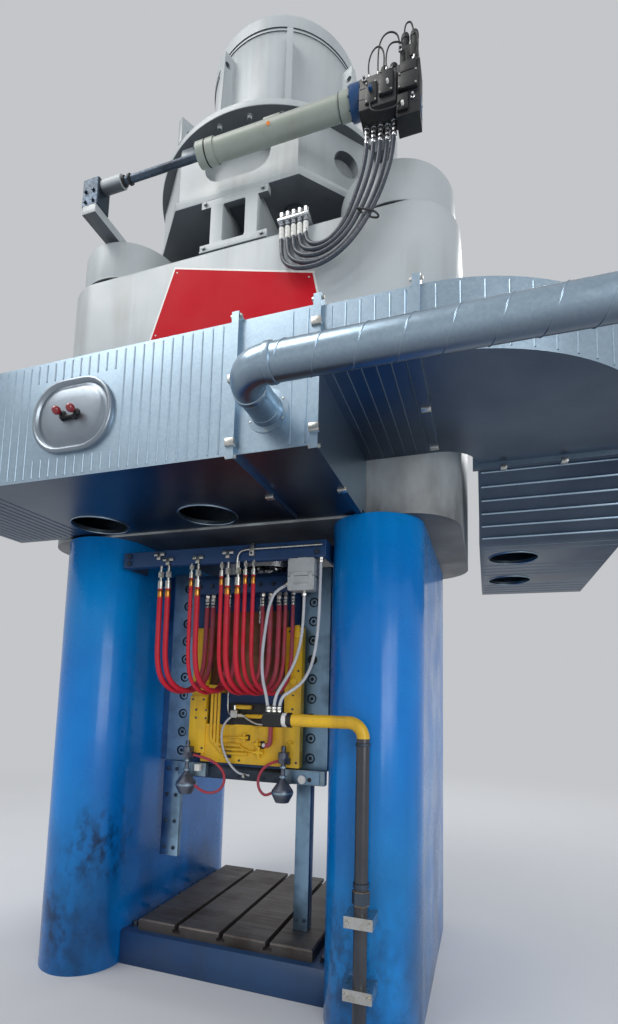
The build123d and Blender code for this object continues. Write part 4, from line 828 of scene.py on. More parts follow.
rail_clamps, clamp_bolts = [], []
for x, z in ((-0.372, 2.345), (-0.311, 2.312), (-0.118, 2.312), (0.068, 2.330)):
    rail_clamps += boxes((x - 0.034, -0.786, z - 0.010, x + 0.034, -0.7695, z + 0.012, 0.004),
                         (x - 0.012, -0.790, z - 0.034, x + 0.012, -0.7695, z - 0.004, 0.004))
    clamp_bolts.append(small_bolt(0.008, (x, -0.786, z + 0.001)))
rail_clamps += boxes((0.203, -0.800, 2.298, 0.231, -0.7695, 2.368, 0.003))
clamp_bolts += [small_bolt(0.007, (0.217, -0.800, z)) for z in (2.312, 2.356)]
piece("rail_clamps", rail_clamps, "frame", "plated_steel")
piece("rail_clamp_bolts", clamp_bolts, "frame", "dark_steel", 25)
rail_line = [(0.127, -0.783, 2.236), (0.127, -0.786, 2.290), (0.140, -0.788, 2.326), (0.175, -0.788, 2.337),
             (0.230, -0.788, 2.338), (0.420, -0.788, 2.338), (0.612, -0.788, 2.338)]
piece("rail_pipe", pipe(rail_line, 0.006), "frame", "plated_steel")
rail_ends = [nut(0.015, 0.013, 0.013, 0.002, (x, -0.77, z), TO_FRONT)
             for x in (-0.58, 0.58) for z in (2.305, 2.345)]
piece("rail_end_bolts", rail_ends, "frame", "dark_steel", 25)

# %% [markdown]
# The gib strips are held by big socket screws that sit deep in their counterbores. The dark gaps round the
# heads and the dark socket floors are painted shade: thin black discs on the floors of the counterbores and
# sockets. A screw head is turned from one profile that goes over the rim and down into the hexagon socket, so
# it is one closed surface. One counterbore on the right stays empty, as on the real machine.

# %% Socket screws of the gib strips
def socket_head(foot, axis, radius, height, sides=24):
    """Head with a chamfered rim and a hexagon socket; its first row closes it below, its last is the floor."""
    profile = [(0, radius), (height * 0.86, radius), (height, radius * 0.9), (height, radius * 0.56),
               (height * 0.42, radius * 0.54)]
    return turned(profile, foot, axis, sides, (3, 4))


def front_screws(places, radius, height, sides=12):
    """Socket heads that all look to the front, one at each place."""
    return [socket_head(place, TO_FRONT, radius, height, sides) for place in places]


def spots(xs, ys, zs):
    """The places where each x meets each y and each z."""
    return [(x, y, z) for x in xs for y in ys for z in zs]


GIB_FACE = 0.338
rows = [1.197 + 0.115 * k for k in range(10)]
holes = [(x, z) for x in (-0.43, 0.43) for z in rows]
filled = [hole for hole in holes if hole != (0.43, rows[5])]
heads = front_screws([(x, -GIB_FACE, z) for x, z in filled], 0.0215, 0.009, 24)
heads += [socket_head((x, GIB_FACE, z), TO_BACK, 0.0215, 0.009) for x, z in holes]
piece("gib_screws", heads, "frame", "worn_steel", 30)
# Black discs on the counterbore floors and in the sockets: painted shade.
shadows = [turned(rod(0.0298, 0.0008), (x, y, z), (0, y, 0)) for x, z in holes for y in (-GIB_FACE, GIB_FACE)]
shadows += [turned(rod(0.0114, 0.0008), (x, -GIB_FACE - 0.0039, z), TO_FRONT, 12, (0, 1)) for x, z in filled]
piece("gib_screw_shadows", shadows, "frame", "black_paint")
print("gib screws:", len(heads))

# %% [markdown]
# The crown carries a sign, which is left as a bare red sheet with a thin white border. It is one flat outline
# of four corners, drawn twice: a white sheet, and a slightly smaller red sheet on top of it.

# %% Bare red sign on the crown
def prism(corners, front, back):
    """A flat outline in the X-Z plane given two depths: the same corners at Y = back and at Y = front."""
    flat = np.array(corners, float)
    rings = [np.stack([flat[:, 0], np.full(len(flat), depth), flat[:, 1]], axis=-1) for depth in (back, front)]
    return capped_grid(np.array(rings))


def shrunk(corners, inset):
    """The outline with each side moved in: a corner is where its two shifted sides meet."""
    flat = np.array(corners, float)
    before, after = np.roll(flat, 1, axis=0), np.roll(flat, -1, axis=0)
    u = (flat - before) / np.linalg.norm(flat - before, axis=1)[:, None]
    v = (after - flat) / np.linalg.norm(after - flat, axis=1)[:, None]
    return flat + inset * (v - u) / np.abs(u[:, :1] * v[:, 1:] - u[:, 1:] * v[:, :1])


sign = [(-0.382, 4.145), (0.525, 3.895), (0.572, 3.676), (-0.537, 3.683)]
piece("sign_border", prism(sign, -0.7835, -0.779), "frame", "grey_paint", 20, "white_edge")
piece("sign_sheet", prism(shrunk(sign, 0.012), -0.7845, -0.783), "frame", "grey_paint", 20, "red_sheet")
sign_rivets = [turned([(0, 0.006), (0.0015, 0.005), (0.0025, 0.002)], (x, -0.7845, z), TO_FRONT, 10)
               for x, z in shrunk(sign, 0.035)]
piece("sign_rivets", sign_rivets, "frame", "plated_steel")

# %% [markdown]
# Weld beads run where the caps and the pedestal meet the crown. A bead is a thin tube laid along an outline,
# half of it sunk in the plates. Its radius goes up and down along the way, which gives the ripples.

# %% Weld beads
def stadium(x, half_length, radius, z):
    """Outline with two round ends: a circle whose halves are moved apart, (x + r cos a, r sin a +- shift)."""
    count = 160
    angle = np.linspace(0, 2 * pi, count, endpoint=False)
    shift = np.where(np.sin(angle) >= 0, 1.0, -1.0) * (half_length - radius)
    return np.stack([x + radius * np.cos(angle), shift + radius * np.sin(angle), np.full(count, z)], axis=-1)


def weld(path, radius=0.007, closed=True):
    """Tube with ripples: radius * (1 + 0.14 sin(40 t)) along a path cut into many short steps."""
    path = np.array(path, float)
    if closed:
        path = np.vstack([path, path[:1]])
    step = np.concatenate([[0], np.cumsum(np.linalg.norm(np.diff(path, axis=0), axis=1))])
    fine = np.linspace(0, step[-1], max(int(step[-1] / 0.012), 8))
    path = np.stack([np.interp(fine, step, path[:, k]) for k in range(3)], axis=-1)
    return tube(path, radius * (1 + 0.14 * np.sin(40 * np.arange(len(path)))), UP, 8)


welds = [weld([(-0.220, y, 4.205), (0.220, y, 4.205)], closed=False) for y in (-0.7705, 0.7705)]
welds += [weld(stadium(x, 0.775, 0.336, 4.206)) for x in (-0.92, 0.92)]
welds.append(weld([(0.3 * cos(a), 0.3 * sin(a), 4.206) for a in np.linspace(0, 2 * pi, 60, endpoint=False)]))
housing_corners = [(0.395, 0.755), (-0.395, 0.755), (-0.755, 0.395), (-0.755, -0.395), (-0.395, -0.755),
                   (0.395, -0.755), (0.755, -0.395), (0.755, 0.395)]
welds.append(weld([(x, y, 4.602) for x, y in housing_corners], 0.006))
piece("weld_beads", welds, "frame", "grey_paint", 70)

# %% [markdown]
# The drive is bolted together: hexagon heads hold the ring flange to the housing and the plate to the
# pedestal, and a rolled band runs round the drum just under its cap. A bolt is one turned shape, and on the
# ring it is made once and set round the axis.

# %% Drive bolts and drum bands
def hex_bolt(radius, foot, axis=UP):
    """Hexagon head on a round washer, with a chamfered top."""
    washer, head, high = radius * 1.35, radius * 1.06, radius * 1.25
    profile = [(0, washer), (radius * 0.2, washer), (radius * 0.2, head), (high, head),
               (high * 1.12, radius * 0.86)]
    return turned(profile, foot, axis, 24, (2, 3))


under_turns = [quarter + turn for quarter in (0, 90, 180, 270) for turn in (-21, -7, 7, 21)]
drive_bolts = [spun(hex_bolt(0.015, (0.815, 0, 5.025)), [15 * k + 6 for k in range(24)]),
               spun(hex_bolt(0.015, (0.815, 0, 4.980), DOWN), under_turns)]
drive_bolts += [hex_bolt(0.014, place, DOWN)
                for place in spots((-0.62, -0.45, 0.45, 0.62), (-0.30, 0.30), (4.545,))]
drive_bolts += [hex_bolt(0.011, (x, y, z), (0, y, 0))
                for x, y, z in spots((-0.19, 0.19), (-0.77, 0.77), (4.228, 4.522))]
piece("drive_bolts", drive_bolts, "frame", "grey_paint", 25)
drum_rings = [turned(band(0.546, 0.5395, 0.012, 0), (0, 0, z - 0.006), sides=96) for z in (5.945, 5.040)]
piece("drum_bands", drum_rings, "frame", "grey_paint", 30)

# %% [markdown]
# The screw shows between the crown's collar and the slide. Its real thread is a helix of flat-topped ridges.
# As a surface it needs one formula: the radius depends on height and angle together, so the ridges climb.

# %% Threaded screw
def threaded(root, crest, low, high, pitch, starts):
    """Surface of a screw: radius = root + (crest - root) * s, where s is a sine of (height / pitch * starts -
    angle * starts / 2 pi), steepened and held between 0 and 1 so that crest and root are flat."""
    z = np.linspace(low, high, 240)[:, None]
    angle = np.linspace(0, 2 * pi, 72, endpoint=False)[None]
    wave = np.sin(2 * pi * starts * z / pitch - starts * angle)
    radius = root + (crest - root) * np.clip(0.5 + 1.6 * wave, 0, 1)
    around = [radius * np.cos(angle), radius * np.sin(angle), np.broadcast_to(z, radius.shape)]
    return capped_grid(np.stack(around, axis=-1))


COLLAR_FOOT = 2.3805
thread = threaded(0.147, 0.1595, 1.4605, 2.4695, 0.33, 3)
collar = turned([(0, 0.24), (0.006, 0.25), (0.089, 0.25), (0.0895, 0.2)], (0, 0, COLLAR_FOOT), sides=72)
collar_bolts = spun(hex_bolt(0.012, (0.215, 0, COLLAR_FOOT), DOWN), [30 * k for k in range(12)])
screw = piece("screw_thread", [thread, collar, collar_bolts], "frame", "bright_steel", 35)
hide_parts("screw")

# %% [markdown]
# The sheet ducts are stiffened by beads pressed across their run: upright on the faces, and from front to
# back under the left end and the link. They give the front duct its fine upright lines. Each is a low
# half-round ridge, and all ridges of a wall are worked out in one go.

# %% Duct beads
FRONT, BACK = -1.565, -0.790  # the front duct's faces
UNDER, ROOF = 2.480, 3.040  # its underside and its top
LINK, SIDE_TOP = 2.760, 3.018  # the link's underside, and how high its beads and the side duct's go
MARGIN = 0.012  # what a bead leaves free at the sheet's edge


def bead_row(places, axis, start, end, normal, height=0.003):
    """Beads side by side: all have the same start and end, but for their place along one axis."""
    starts, ends = np.array([start] * len(places), float), np.array([end] * len(places), float)
    starts[:, axis] = ends[:, axis] = places
    return beads(starts, ends, normal, height=height)


xs, top_xs = np.arange(-1.37, 0.46, 0.047), np.arange(-1.37, 0.46, 0.094)
box_xs, link_xs, ys = np.arange(0.53, 0.80, 0.062), np.arange(0.87, 1.16, 0.055), np.arange(-0.02, 1.46, 0.094)
over_hatch = (xs > -0.54) & (xs < -0.08)
beside_pipe = np.abs(box_xs - 0.62) > 0.09
clear = (np.abs(ys - 0.26) > 0.165) & (np.abs(ys - 0.94) > 0.165)
low, high, link_low = UNDER + MARGIN, ROOF - MARGIN, LINK + MARGIN
ROWS = [
    (xs[~over_hatch], 0, (0, FRONT, low), (0, FRONT, high), TO_FRONT),
    (xs[over_hatch], 0, (0, FRONT, ROOF - 0.095), (0, FRONT, high), TO_FRONT),
    (xs[over_hatch], 0, (0, FRONT, low), (0, FRONT, UNDER + 0.095), TO_FRONT),
    (xs[xs < -0.82], 0, (0, FRONT + MARGIN, UNDER), (0, BACK - 0.04, UNDER), DOWN, 0.002),
    (box_xs[beside_pipe], 0, (0, FRONT, low), (0, FRONT, high), TO_FRONT),
    (link_xs, 0, (0, FRONT, link_low), (0, FRONT, SIDE_TOP), TO_FRONT),
    (link_xs, 0, (0, FRONT + MARGIN, LINK), (0, BACK - MARGIN, LINK), DOWN, 0.002),
    (top_xs, 0, (0, FRONT + MARGIN, ROOF), (0, BACK - MARGIN, ROOF), UP),
    (ys, 1, (2.15, 0, low), (2.15, 0, SIDE_TOP), TO_RIGHT),
    (ys, 1, (1.375, 0, low), (1.375, 0, SIDE_TOP), (-1, 0, 0)),
    (ys[clear], 1, (1.39, 0, UNDER), (2.135, 0, UNDER), DOWN),
]
runs = [bead_row(*row) for row in ROWS]

turns = np.radians(np.arange(-86, -2, 5.0))
away = np.stack([np.cos(turns), np.sin(turns), np.zeros(len(turns))], axis=-1)
bend = (1.185, -0.600, 0) + 0.965 * away
runs.append(beads(bend + (0, 0, link_low), bend + (0, 0, SIDE_TOP), away))
slope = np.linspace(0.08, 0.92, 6)[:, None] * (0, 0.480, -0.280) + (0, -0.570, LINK)
square_to_slope = np.array([0.0, -0.280, -0.480]) / np.hypot(0.28, 0.48)
runs.append(beads(slope + (1.39, 0, 0), slope + (2.135, 0, 0), square_to_slope, 0.009, 0.007))
piece("duct_beads", runs, "frame", "galvanised", 60)
print("duct beads:", sum(len(run[0]) // 10 for run in runs))

# %% [markdown]
# Flanges are folded from strip, with a small slip-on clamp every few hundred millimetres and bolts at their
# corners. The intakes have a turned-down rim, so that the sheet has a thickness at the hole.

# %% Flange clamps, corner bolts and intake rims
clamps, corners = [], []
for x, y, z in ((0.48, -1.590, 2.78), (0.48, -1.590, 2.52), (0.82, -1.590, 2.533), (0.82, -1.590, 2.95)):
    clamps += boxes((x - 0.020, y - 0.010, z - 0.016, x + 0.020, y + 0.012, z + 0.016, 0.003))
for x, y, z in ((0.48, -1.18, 2.455), (0.82, -1.18, 2.455), (1.185, -1.25, 2.735), (1.185, -0.90, 2.735)):
    clamps += boxes((x - 0.020, y - 0.016, z - 0.010, x + 0.020, y + 0.016, z + 0.012, 0.003))
for x in (1.50, 1.78, 2.05):
    clamps += boxes((x - 0.016, -0.607, 2.725, x + 0.016, -0.563, 2.747, 0.003))
for x, bottom, above in ((0.48, 2.4675, 3.0525), (0.82, 2.4675, 3.0525), (1.185, 2.7475, 3.0425)):
    for z in (bottom, above):
        corners.append(nut(0.008, 0.007, 0.048, 0.006, (x - 0.024, -1.5775, z), TO_RIGHT, 12))
piece("duct_clamps", clamps, "frame", "plated_steel")
piece("duct_corner_bolts", corners, "frame", "plated_steel", 25)


def hole_rim(x, y, z, radius):
    """A rolled rim hanging from a round hole: a small circle carried round a big one."""
    turn = np.linspace(0, 2 * pi, 65)[:, None]
    small = np.linspace(0, 2 * pi, 8, endpoint=False)[None]
    reach = radius + 0.005 * np.cos(small)
    drop = z - 0.001 + 0.006 * np.sin(small) + 0 * turn
    points = np.stack([x + reach * np.cos(turn), y + reach * np.sin(turn), drop], axis=-1)
    return outward(points.reshape(-1, 3), [grid_faces(65, 8)])


INTAKES = ((-0.64, -0.969), (0.04, -0.969), (1.577, 0.26), (1.577, 0.94))
piece("intake_rims", [hole_rim(x, y, UNDER, 0.152) for x, y in INTAKES], "frame", "galvanised", 60)

# %% [markdown]
# The inspection hatch is a pressed door: a channel all round, a bright domed middle, and two red balls on
# dark stems with a small bridge between them. One list of rings, each further in, gives the whole section.

# %% Hatch door
pressing = [(0, 0), (0.001, 0.016), (0.006, 0.021), (0.016, 0.022), (0.022, 0.017), (0.028, 0.009),
            (0.040, 0.009), (0.046, 0.015), (0.062, 0.019), (0.100, 0.0215), (0.140, 0.0225), (0.158, 0.0228)]
door = oval_rings(0.430, 0.340, 0.160, pressing, (-0.310, FRONT, 2.760))
hatch = piece("hatch_panel", door, "frame", "dark_steel", 50, "hatch_sheet")
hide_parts("hatch_door")


def ball(radius, first, last, count):
    """Profile of a ball: -radius * cos a along and radius * sin a out, with a from the first to the last."""
    return [(-radius * cos(a), radius * sin(a)) for a in np.linspace(first, last, count)]


stem = [(0, 0.017), (0.006, 0.017), (0.012, 0.0085), (0.040, 0.0075), (0.048, 0.010)]
KNOB_XS = (-0.3475, -0.2725)
stems = [turned(stem, (x, -1.5865, 2.760), TO_FRONT, 20) for x in KNOB_XS]
stems += boxes((-0.352, -1.606, 2.733, -0.268, -1.590, 2.745, 0.005),
               (-0.350, -1.600, 2.728, -0.338, -1.5865, 2.750, 0.004),
               (-0.282, -1.600, 2.728, -0.270, -1.5865, 2.750, 0.004))
piece("hatch_stems", stems, "frame", "black_paint")
balls = [turned(ball(0.0195, 0.12, pi - 0.02, 14), (x, -1.6245, 2.760), TO_FRONT) for x in KNOB_XS]
piece("hatch_knobs", balls, "frame", "dark_steel", 60, "knob_red")

# %% [markdown]
# The branch pipe is wound from strip, so a seam climbs round it once every 137 mm. The helix is
# (x, r cos a, r sin a) with a = 2 pi x / pitch. Its pressed elbow is smooth and has a collar at each end.

# %% Branch pipe seams and collars
PIPE_Y, PIPE_Z, SEAM_PITCH = -1.835, 2.640, 0.137
along = np.linspace(0.775, 2.150, 560)
climb = 2 * pi * along / SEAM_PITCH
helix = np.stack([along, PIPE_Y + 0.0622 * np.sin(climb), PIPE_Z + 0.0622 * np.cos(climb)], axis=-1)
piece("branch_seam", tube(helix, 0.0022, TO_RIGHT, 6), "frame", "galvanised", 60, "pipe_zinc")
collar = [(0, 0.061), (0.002, 0.0655), (0.006, 0.067), (0.024, 0.067), (0.028, 0.0655), (0.030, 0.061)]
stub = [(0, 0.088), (0.003, 0.088), (0.005, 0.066), (0.032, 0.064), (0.034, 0.0625)]
elbow_collars = [turned(collar, (0.735, PIPE_Y, PIPE_Z), TO_RIGHT, 48),
                 turned(collar, (0.620, -1.730, PIPE_Z), TO_BACK, 48),
                 turned(stub, (0.620, FRONT, PIPE_Z), TO_FRONT, 48)]
piece("branch_collars", elbow_collars, "frame", "galvanised", 30, "pipe_zinc")
stub_screws = [turned([(0, 0.005), (0.002, 0.005), (0.003, 0.003)],
                      (0.620 - 0.077 * sin(a), FRONT - 0.003, PIPE_Z + 0.077 * cos(a)), TO_FRONT, 8, twist=a)
               for a in np.radians(np.arange(0, 360, 60))]
piece("branch_stub_screws", stub_screws, "frame", "plated_steel")
print("seam turns:", round((along[-1] - along[0]) / SEAM_PITCH, 1))

# %% [markdown]
# The long cylinder has tie rings, port blocks and a blue head flange with socket screws. A scraper ring sits
# on the rod, and the sleeve at the rod's far end is pale. The same few shapes do for all of it.

# %% Cylinder details
AXIS_Y, AXIS_Z = -0.900, 4.710


def on_cylinder(profile, x):
    """A turned shape on the cylinder's axis, from x on."""
    return turned(profile, (x, AXIS_Y, AXIS_Z), TO_RIGHT, 48)


seams = [on_cylinder(band(0.0664, 0.0585, 0.004, 0), x) for x in (-0.1165, 0.6905)]
piece("cylinder_seams", seams, "frame", "black_paint", 30)
flange = on_cylinder([(0, 0.0782), (0.001, 0.0790), (0.056, 0.0790), (0.0575, 0.0782)], 0.7526)
piece("cylinder_flange", flange, "frame", "dark_blue_paint", 30, "flange_blue")
flange_ring = [socket_head((0.7526, AXIS_Y + 0.0715 * cos(a), AXIS_Z + 0.0715 * sin(a)), (-1, 0, 0), 0.0055,
                           0.007, 12) for a in np.radians(np.arange(22.5, 360, 45))]
piece("cylinder_flange_screws", flange_ring, "frame", "dark_steel", 30)
ports = boxes((-0.160, -0.922, 4.772, -0.085, -0.878, 4.788, 0.004),
              (0.705, -0.922, 4.772, 0.745, -0.878, 4.788, 0.004),
              (0.245, -0.930, 4.764, 0.345, -0.870, 4.782, 0.003))
piece("cylinder_ports", ports, "frame", "pale_green_paint")
dot = turned([(0, 0.0118), (0.0012, 0.0112)], (0.291, -0.9585, 4.6968), (0, -1, -0.25), 20)
piece("cylinder_dot", dot, "frame", "yellow_paint", look="dot_orange")
sleeve = on_cylinder([(0, 0.0385), (0.003, 0.0412), (0.168, 0.0412), (0.170, 0.0385)], -0.8765)
piece("rod_sleeve", sleeve, "frame", "grey_paint", 30)
rod_rings = [on_cylinder(band(0.031, 0.022, 0.018, 0.002), x) for x in (-0.708, -0.665)]
rod_rings.append(on_cylinder([(0, 0.022), (0.003, 0.040), (0.012, 0.042)], -0.182))
piece("rod_rings", rod_rings, "frame", "black_paint", 30)
anchor_bolts = [hex_bolt(0.009, place, TO_FRONT) for place in spots((-0.942, -0.885), (-0.955,), (4.585, 4.655))]
piece("anchor_bolts", anchor_bolts, "frame", "dark_steel", 25)

# %% [markdown]
# The valve group is the busiest spot of the machine: black modules with joints between them, plugs with cable
# glands, a few white and blue caps, and thin pilot pipes that loop over. None of it is large, and together it
# reads as the real cluster, so it is built from many small blocks, turned caps and bent pipes.

# %% Valve modules and caps
modules = boxes((0.842, -0.985, 4.580, 0.905, -0.955, 4.700, 0.006),
                (0.915, -0.992, 4.600, 0.988, -0.960, 4.735, 0.006),
                (1.006, -0.972, 4.500, 1.062, -0.950, 4.590, 0.005),
                (1.010, -0.978, 4.610, 1.108, -0.950, 4.700, 0.006),
                (1.020, -0.968, 4.715, 1.100, -0.948, 4.775, 0.005),
                (0.890, -0.945, 4.742, 0.912, -0.875, 4.790, 0.004),
                (1.016, -0.945, 4.800, 1.042, -0.860, 4.880, 0.004),
                (1.066, -0.950, 4.820, 1.104, -0.905, 4.890, 0.004),
                (1.104, -0.935, 4.640, 1.116, -0.865, 4.740, 0.004))
piece("valve_modules", modules, "frame", "black_paint")
joints = boxes(*[(0.8095, -0.9765, z - 0.0015, 1.0005, -0.8235, z + 0.0015, 0.001) for z in (4.622, 4.684)],
               *[(1.0005, -0.9565, z - 0.0015, 1.1185, -0.8435, z + 0.0015, 0.001) for z in (4.545, 4.604, 4.706)])
piece("valve_joints", joints, "frame", "dark_steel")
coil_cap = [(-0.030, 0.0203), (-0.030, 0.0225), (-0.010, 0.0225), (-0.006, 0.020), (0.003, 0.012)]
coil_caps = []
for x, z in ((0.928, 4.855), (0.976, 4.855), (1.035, 5.010), (1.083, 5.010)):
    coil_caps += [turned(coil_cap, (x, AXIS_Y, z), sides=20),
                  turned(rod(0.0215, 0.004), (x, AXIS_Y, z - 0.085), sides=20)]
piece("valve_coil_caps", coil_caps, "frame", "black_paint")
white_bits = [turned([(0, 0.007), (0.014, 0.007), (0.017, 0.005)], (0.962, -0.992, 4.650), TO_FRONT, 16),
              turned([(0, 0.008), (0.014, 0.008), (0.017, 0.006)], (1.035, -0.972, 4.522), TO_FRONT, 16),
              *boxes((0.948, -0.925, 4.806, 0.956, -0.875, 4.830, 0.002))]
piece("valve_white_caps", white_bits, "frame", "plated_steel", look="white_edge")
blue_bits = [turned([(0, 0.010), (0.018, 0.010), (0.021, 0.007)], (0.872, -0.985, 4.652), TO_FRONT, 16),
             *boxes((1.118, -0.930, 4.520, 1.121, -0.870, 4.600, 0.001))]
piece("valve_blue_caps", blue_bits, "frame", "dark_blue_paint", look="flange_blue")

# %% [markdown]
# Thin pilot pipes loop from module to module, each plug has a cable gland, and three modules are each held
# by four small screws. Listed points give the pipes their slack, lively look, which a formula would make stiff.

# %% Pilot pipes, glands and module screws
PILOT_PIPES = [
    [(0.905, -0.960, 4.746), (0.902, -0.962, 4.860), (0.915, -0.960, 4.960), (0.955, -0.955, 5.000),
     (1.000, -0.945, 4.985), (1.012, -0.940, 4.930), (1.018, -0.935, 4.870)],
    [(0.952, -0.975, 4.740), (0.945, -0.975, 4.820), (0.962, -0.970, 4.900), (1.000, -0.965, 4.910),
     (1.045, -0.960, 4.880), (1.052, -0.958, 4.820), (1.050, -0.955, 4.770)],
    [(1.030, -0.905, 5.000), (1.032, -0.910, 5.055), (1.050, -0.915, 5.072), (1.072, -0.915, 5.060),
     (1.080, -0.908, 5.005)],
    [(0.860, -0.960, 4.746), (0.850, -0.962, 4.820), (0.868, -0.962, 4.900), (0.905, -0.962, 4.930),
     (0.935, -0.958, 4.890), (0.935, -0.955, 4.800), (0.930, -0.955, 4.742)],
    [(1.090, -0.965, 4.760), (1.110, -0.968, 4.820), (1.108, -0.965, 4.900), (1.095, -0.955, 4.945),
     (1.088, -0.935, 4.960)],
    [(0.870, -0.980, 4.590), (0.868, -0.990, 4.540), (0.900, -0.992, 4.505), (0.970, -0.990, 4.500),
     (1.010, -0.982, 4.515), (1.022, -0.975, 4.545)],
]
piece("pilot_pipes", [pipe(points, 0.0042, 8) for points in PILOT_PIPES], "frame", "black_paint", 60)
PLUGS = [((0.905, -0.960, 4.744), UP), ((0.952, -0.975, 4.734), UP), ((0.860, -0.960, 4.744), UP),
         ((1.090, -0.960, 4.772), UP), ((1.018, -0.945, 4.870), TO_FRONT), ((1.116, -0.900, 4.560), (0.02, 0, 1)),
         ((0.838, -0.975, 4.726), TO_FRONT), ((1.085, -0.955, 4.560), TO_FRONT)]
glands = [turned([(0, 0.011), (0.010, 0.011), (0.012, 0.007), (0.026, 0.006)], place, axis, 12, (0, 1))
          for place, axis in PLUGS]
piece("valve_glands", glands, "frame", "bright_steel", 25)
module_screws = front_screws(spots((0.850, 0.897), (-0.985,), (4.588, 4.692))
                             + spots((0.923, 0.980), (-0.992,), (4.608, 4.727))
                             + spots((1.018, 1.100), (-0.978,), (4.618, 4.692)), 0.005, 0.004)
piece("valve_screws", module_screws, "frame", "plated_steel", 30)

# %% [markdown]
# The junction box has a lid seam, two latches, four screws and a gland for each conduit. The service pipe is
# yellow where it crosses, but its drop is a dark sleeve, its tee is black and a white collar sits between.

# %% Junction box and service pipe
latches = boxes(*[(x - 0.011, -0.7945, 2.158, x + 0.011, -0.789, 2.196, 0.002) for x in (0.448, 0.549)],
                (0.4285, -0.7925, 2.196, 0.5685, -0.7895, 2.200, 0.001),
                (0.455, -0.7925, 2.124, 0.542, -0.7895, 2.140, 0.001))
piece("box_latches", latches, "frame", "cast_aluminium")
piece("box_seam", boxes((0.4245, -0.7915, 2.176, 0.5725, -0.70, 2.1785, 0.0005)), "frame", "black_paint")
box_screws = front_screws(spots((0.437, 0.560), (-0.790,), (2.113, 2.261)), 0.006, 0.004)
piece("box_screws", box_screws, "frame", "plated_steel", 30)


def gland(at, axis):
    """Cable gland: hexagon foot, hexagon cap, and a rounded mouth round the conduit."""
    profile = [(0, 0.014), (0.010, 0.014), (0.011, 0.0115), (0.013, 0.0115), (0.014, 0.0135), (0.026, 0.0135),
               (0.031, 0.0095), (0.032, 0.0082)]
    return turned(profile, at, axis, 24, (0, 1, 4, 5))


box_glands = [gland((0.4305, -0.745, 2.1505), (-1, -0.04, -0.32)), gland((0.505, -0.745, 2.1065), DOWN),
              gland((0.592, -0.745, 2.2805), DOWN)]
SERVICE_Y, CROSS_Z, DROP_X = -0.900, 1.440, 0.866
box_glands += [gland((x, SERVICE_Y, 1.4745), UP) for x in (0.390, 0.418, 0.446)]
piece("conduit_glands", box_glands, "frame", "plated_steel", 25)
drop = turned([(0, 0.0300), (0.001, 0.0312), (1.235, 0.0312), (1.243, 0.0302)], (DROP_X, SERVICE_Y, 0.1262),
              sides=40)
piece("service_drop", drop, "frame", "black_paint", 40, "drop_dark")
tee_outline = [(0.001, 0), (0, 0.001), (0, 0.0905), (0.001, 0.0915)]
tee = [oval_rings(0.0720, 0.0720, 0.0110, tee_outline, (0.3743, SERVICE_Y, CROSS_Z), TO_RIGHT),
       nut(0.036, 0.0345, 0.026, 0.002, (0.490, SERVICE_Y, CROSS_Z), TO_RIGHT),
       turned([(0, 0.030), (0.006, 0.030), (0.010, 0.022)], (0.374, SERVICE_Y, CROSS_Z), (-1, 0, 0), 24, (0, 1))]
piece("service_tee", tee, "frame", "black_paint", 30)
collar = turned(band(0.0335, 0.0302, 0.024, 0.002), (0.4660, SERVICE_Y, CROSS_Z), TO_RIGHT, 32)
piece("service_collar", collar, "frame", "plated_steel", look="white_edge")
fitting = [nut(0.0415, 0.0375, 0.062, 0.003, (DROP_X, SERVICE_Y, 0.6392), twist=pi / 6),
           turned(band(0.036, 0.031, 0.025, 0.003), (DROP_X, SERVICE_Y, 0.712), sides=32),
           turned(band(0.0345, 0.032, 0.015, 0.002), (DROP_X, SERVICE_Y, 1.335), sides=32)]
piece("service_fitting", fitting, "frame", "dark_steel", 30)
pipe_bolts = [hex_bolt(0.009, place, TO_FRONT) for place in spots((0.816, 0.916), (-0.950,), (0.576, 0.276))]
piece("pipe_clamp_bolts", pipe_bolts, "frame", "plated_steel", 25)

# %% [markdown]
# On the yellow tooling plate sit cross fittings, thin lubricant pipes, a short thick pipe with its white hub
# and a red pipe. Black boxes behind and beside them are painted shade, of a pocket and of the crosses. Their
# places come from the photo; their depth is the plate's.

# %% Pipes and crosses on the tooling plate
def cross_fitting(x, z, size=0.016):
    """A cast cross: two short hexagon bars that meet, with a round boss."""
    bar, half = rod(size * 0.7, size * 4), size * 2
    return joined(turned(bar, (x - half, -0.452, z), TO_RIGHT, 12, (0, 1)),
                  turned(bar, (x, -0.452, z - half), UP, 12, (0, 1)),
                  turned([(0, size), (0.022, size), (0.026, size * 0.7)], (x, -0.440, z), TO_FRONT, 16))


lube_pipes = [
    [(-0.114, -0.449, 1.302), (-0.060, -0.452, 1.302), (0.000, -0.452, 1.304), (0.036, -0.452, 1.304)],
    [(-0.090, -0.448, 1.267), (-0.040, -0.450, 1.267), (0.005, -0.450, 1.264), (0.050, -0.450, 1.240),
     (0.095, -0.450, 1.226), (0.130, -0.450, 1.225)],
    [(0.293, -0.444, 1.372), (0.293, -0.446, 1.320), (0.296, -0.446, 1.298), (0.328, -0.446, 1.293)],
    [(-0.222, -0.444, 1.372), (-0.222, -0.446, 1.250), (-0.226, -0.446, 1.180)]]
piece("lubricant_pipes", [pipe(points, 0.0052, 8) for points in lube_pipes], "ram", "yellow_paint", 60)
crosses = [cross_fitting(0.052, 1.305, 0.013), cross_fitting(0.146, 1.224), cross_fitting(0.136, 1.272, 0.012),
           cross_fitting(0.342, 1.292, 0.010)]
piece("cross_fittings", crosses, "ram", "yellow_paint", 30)
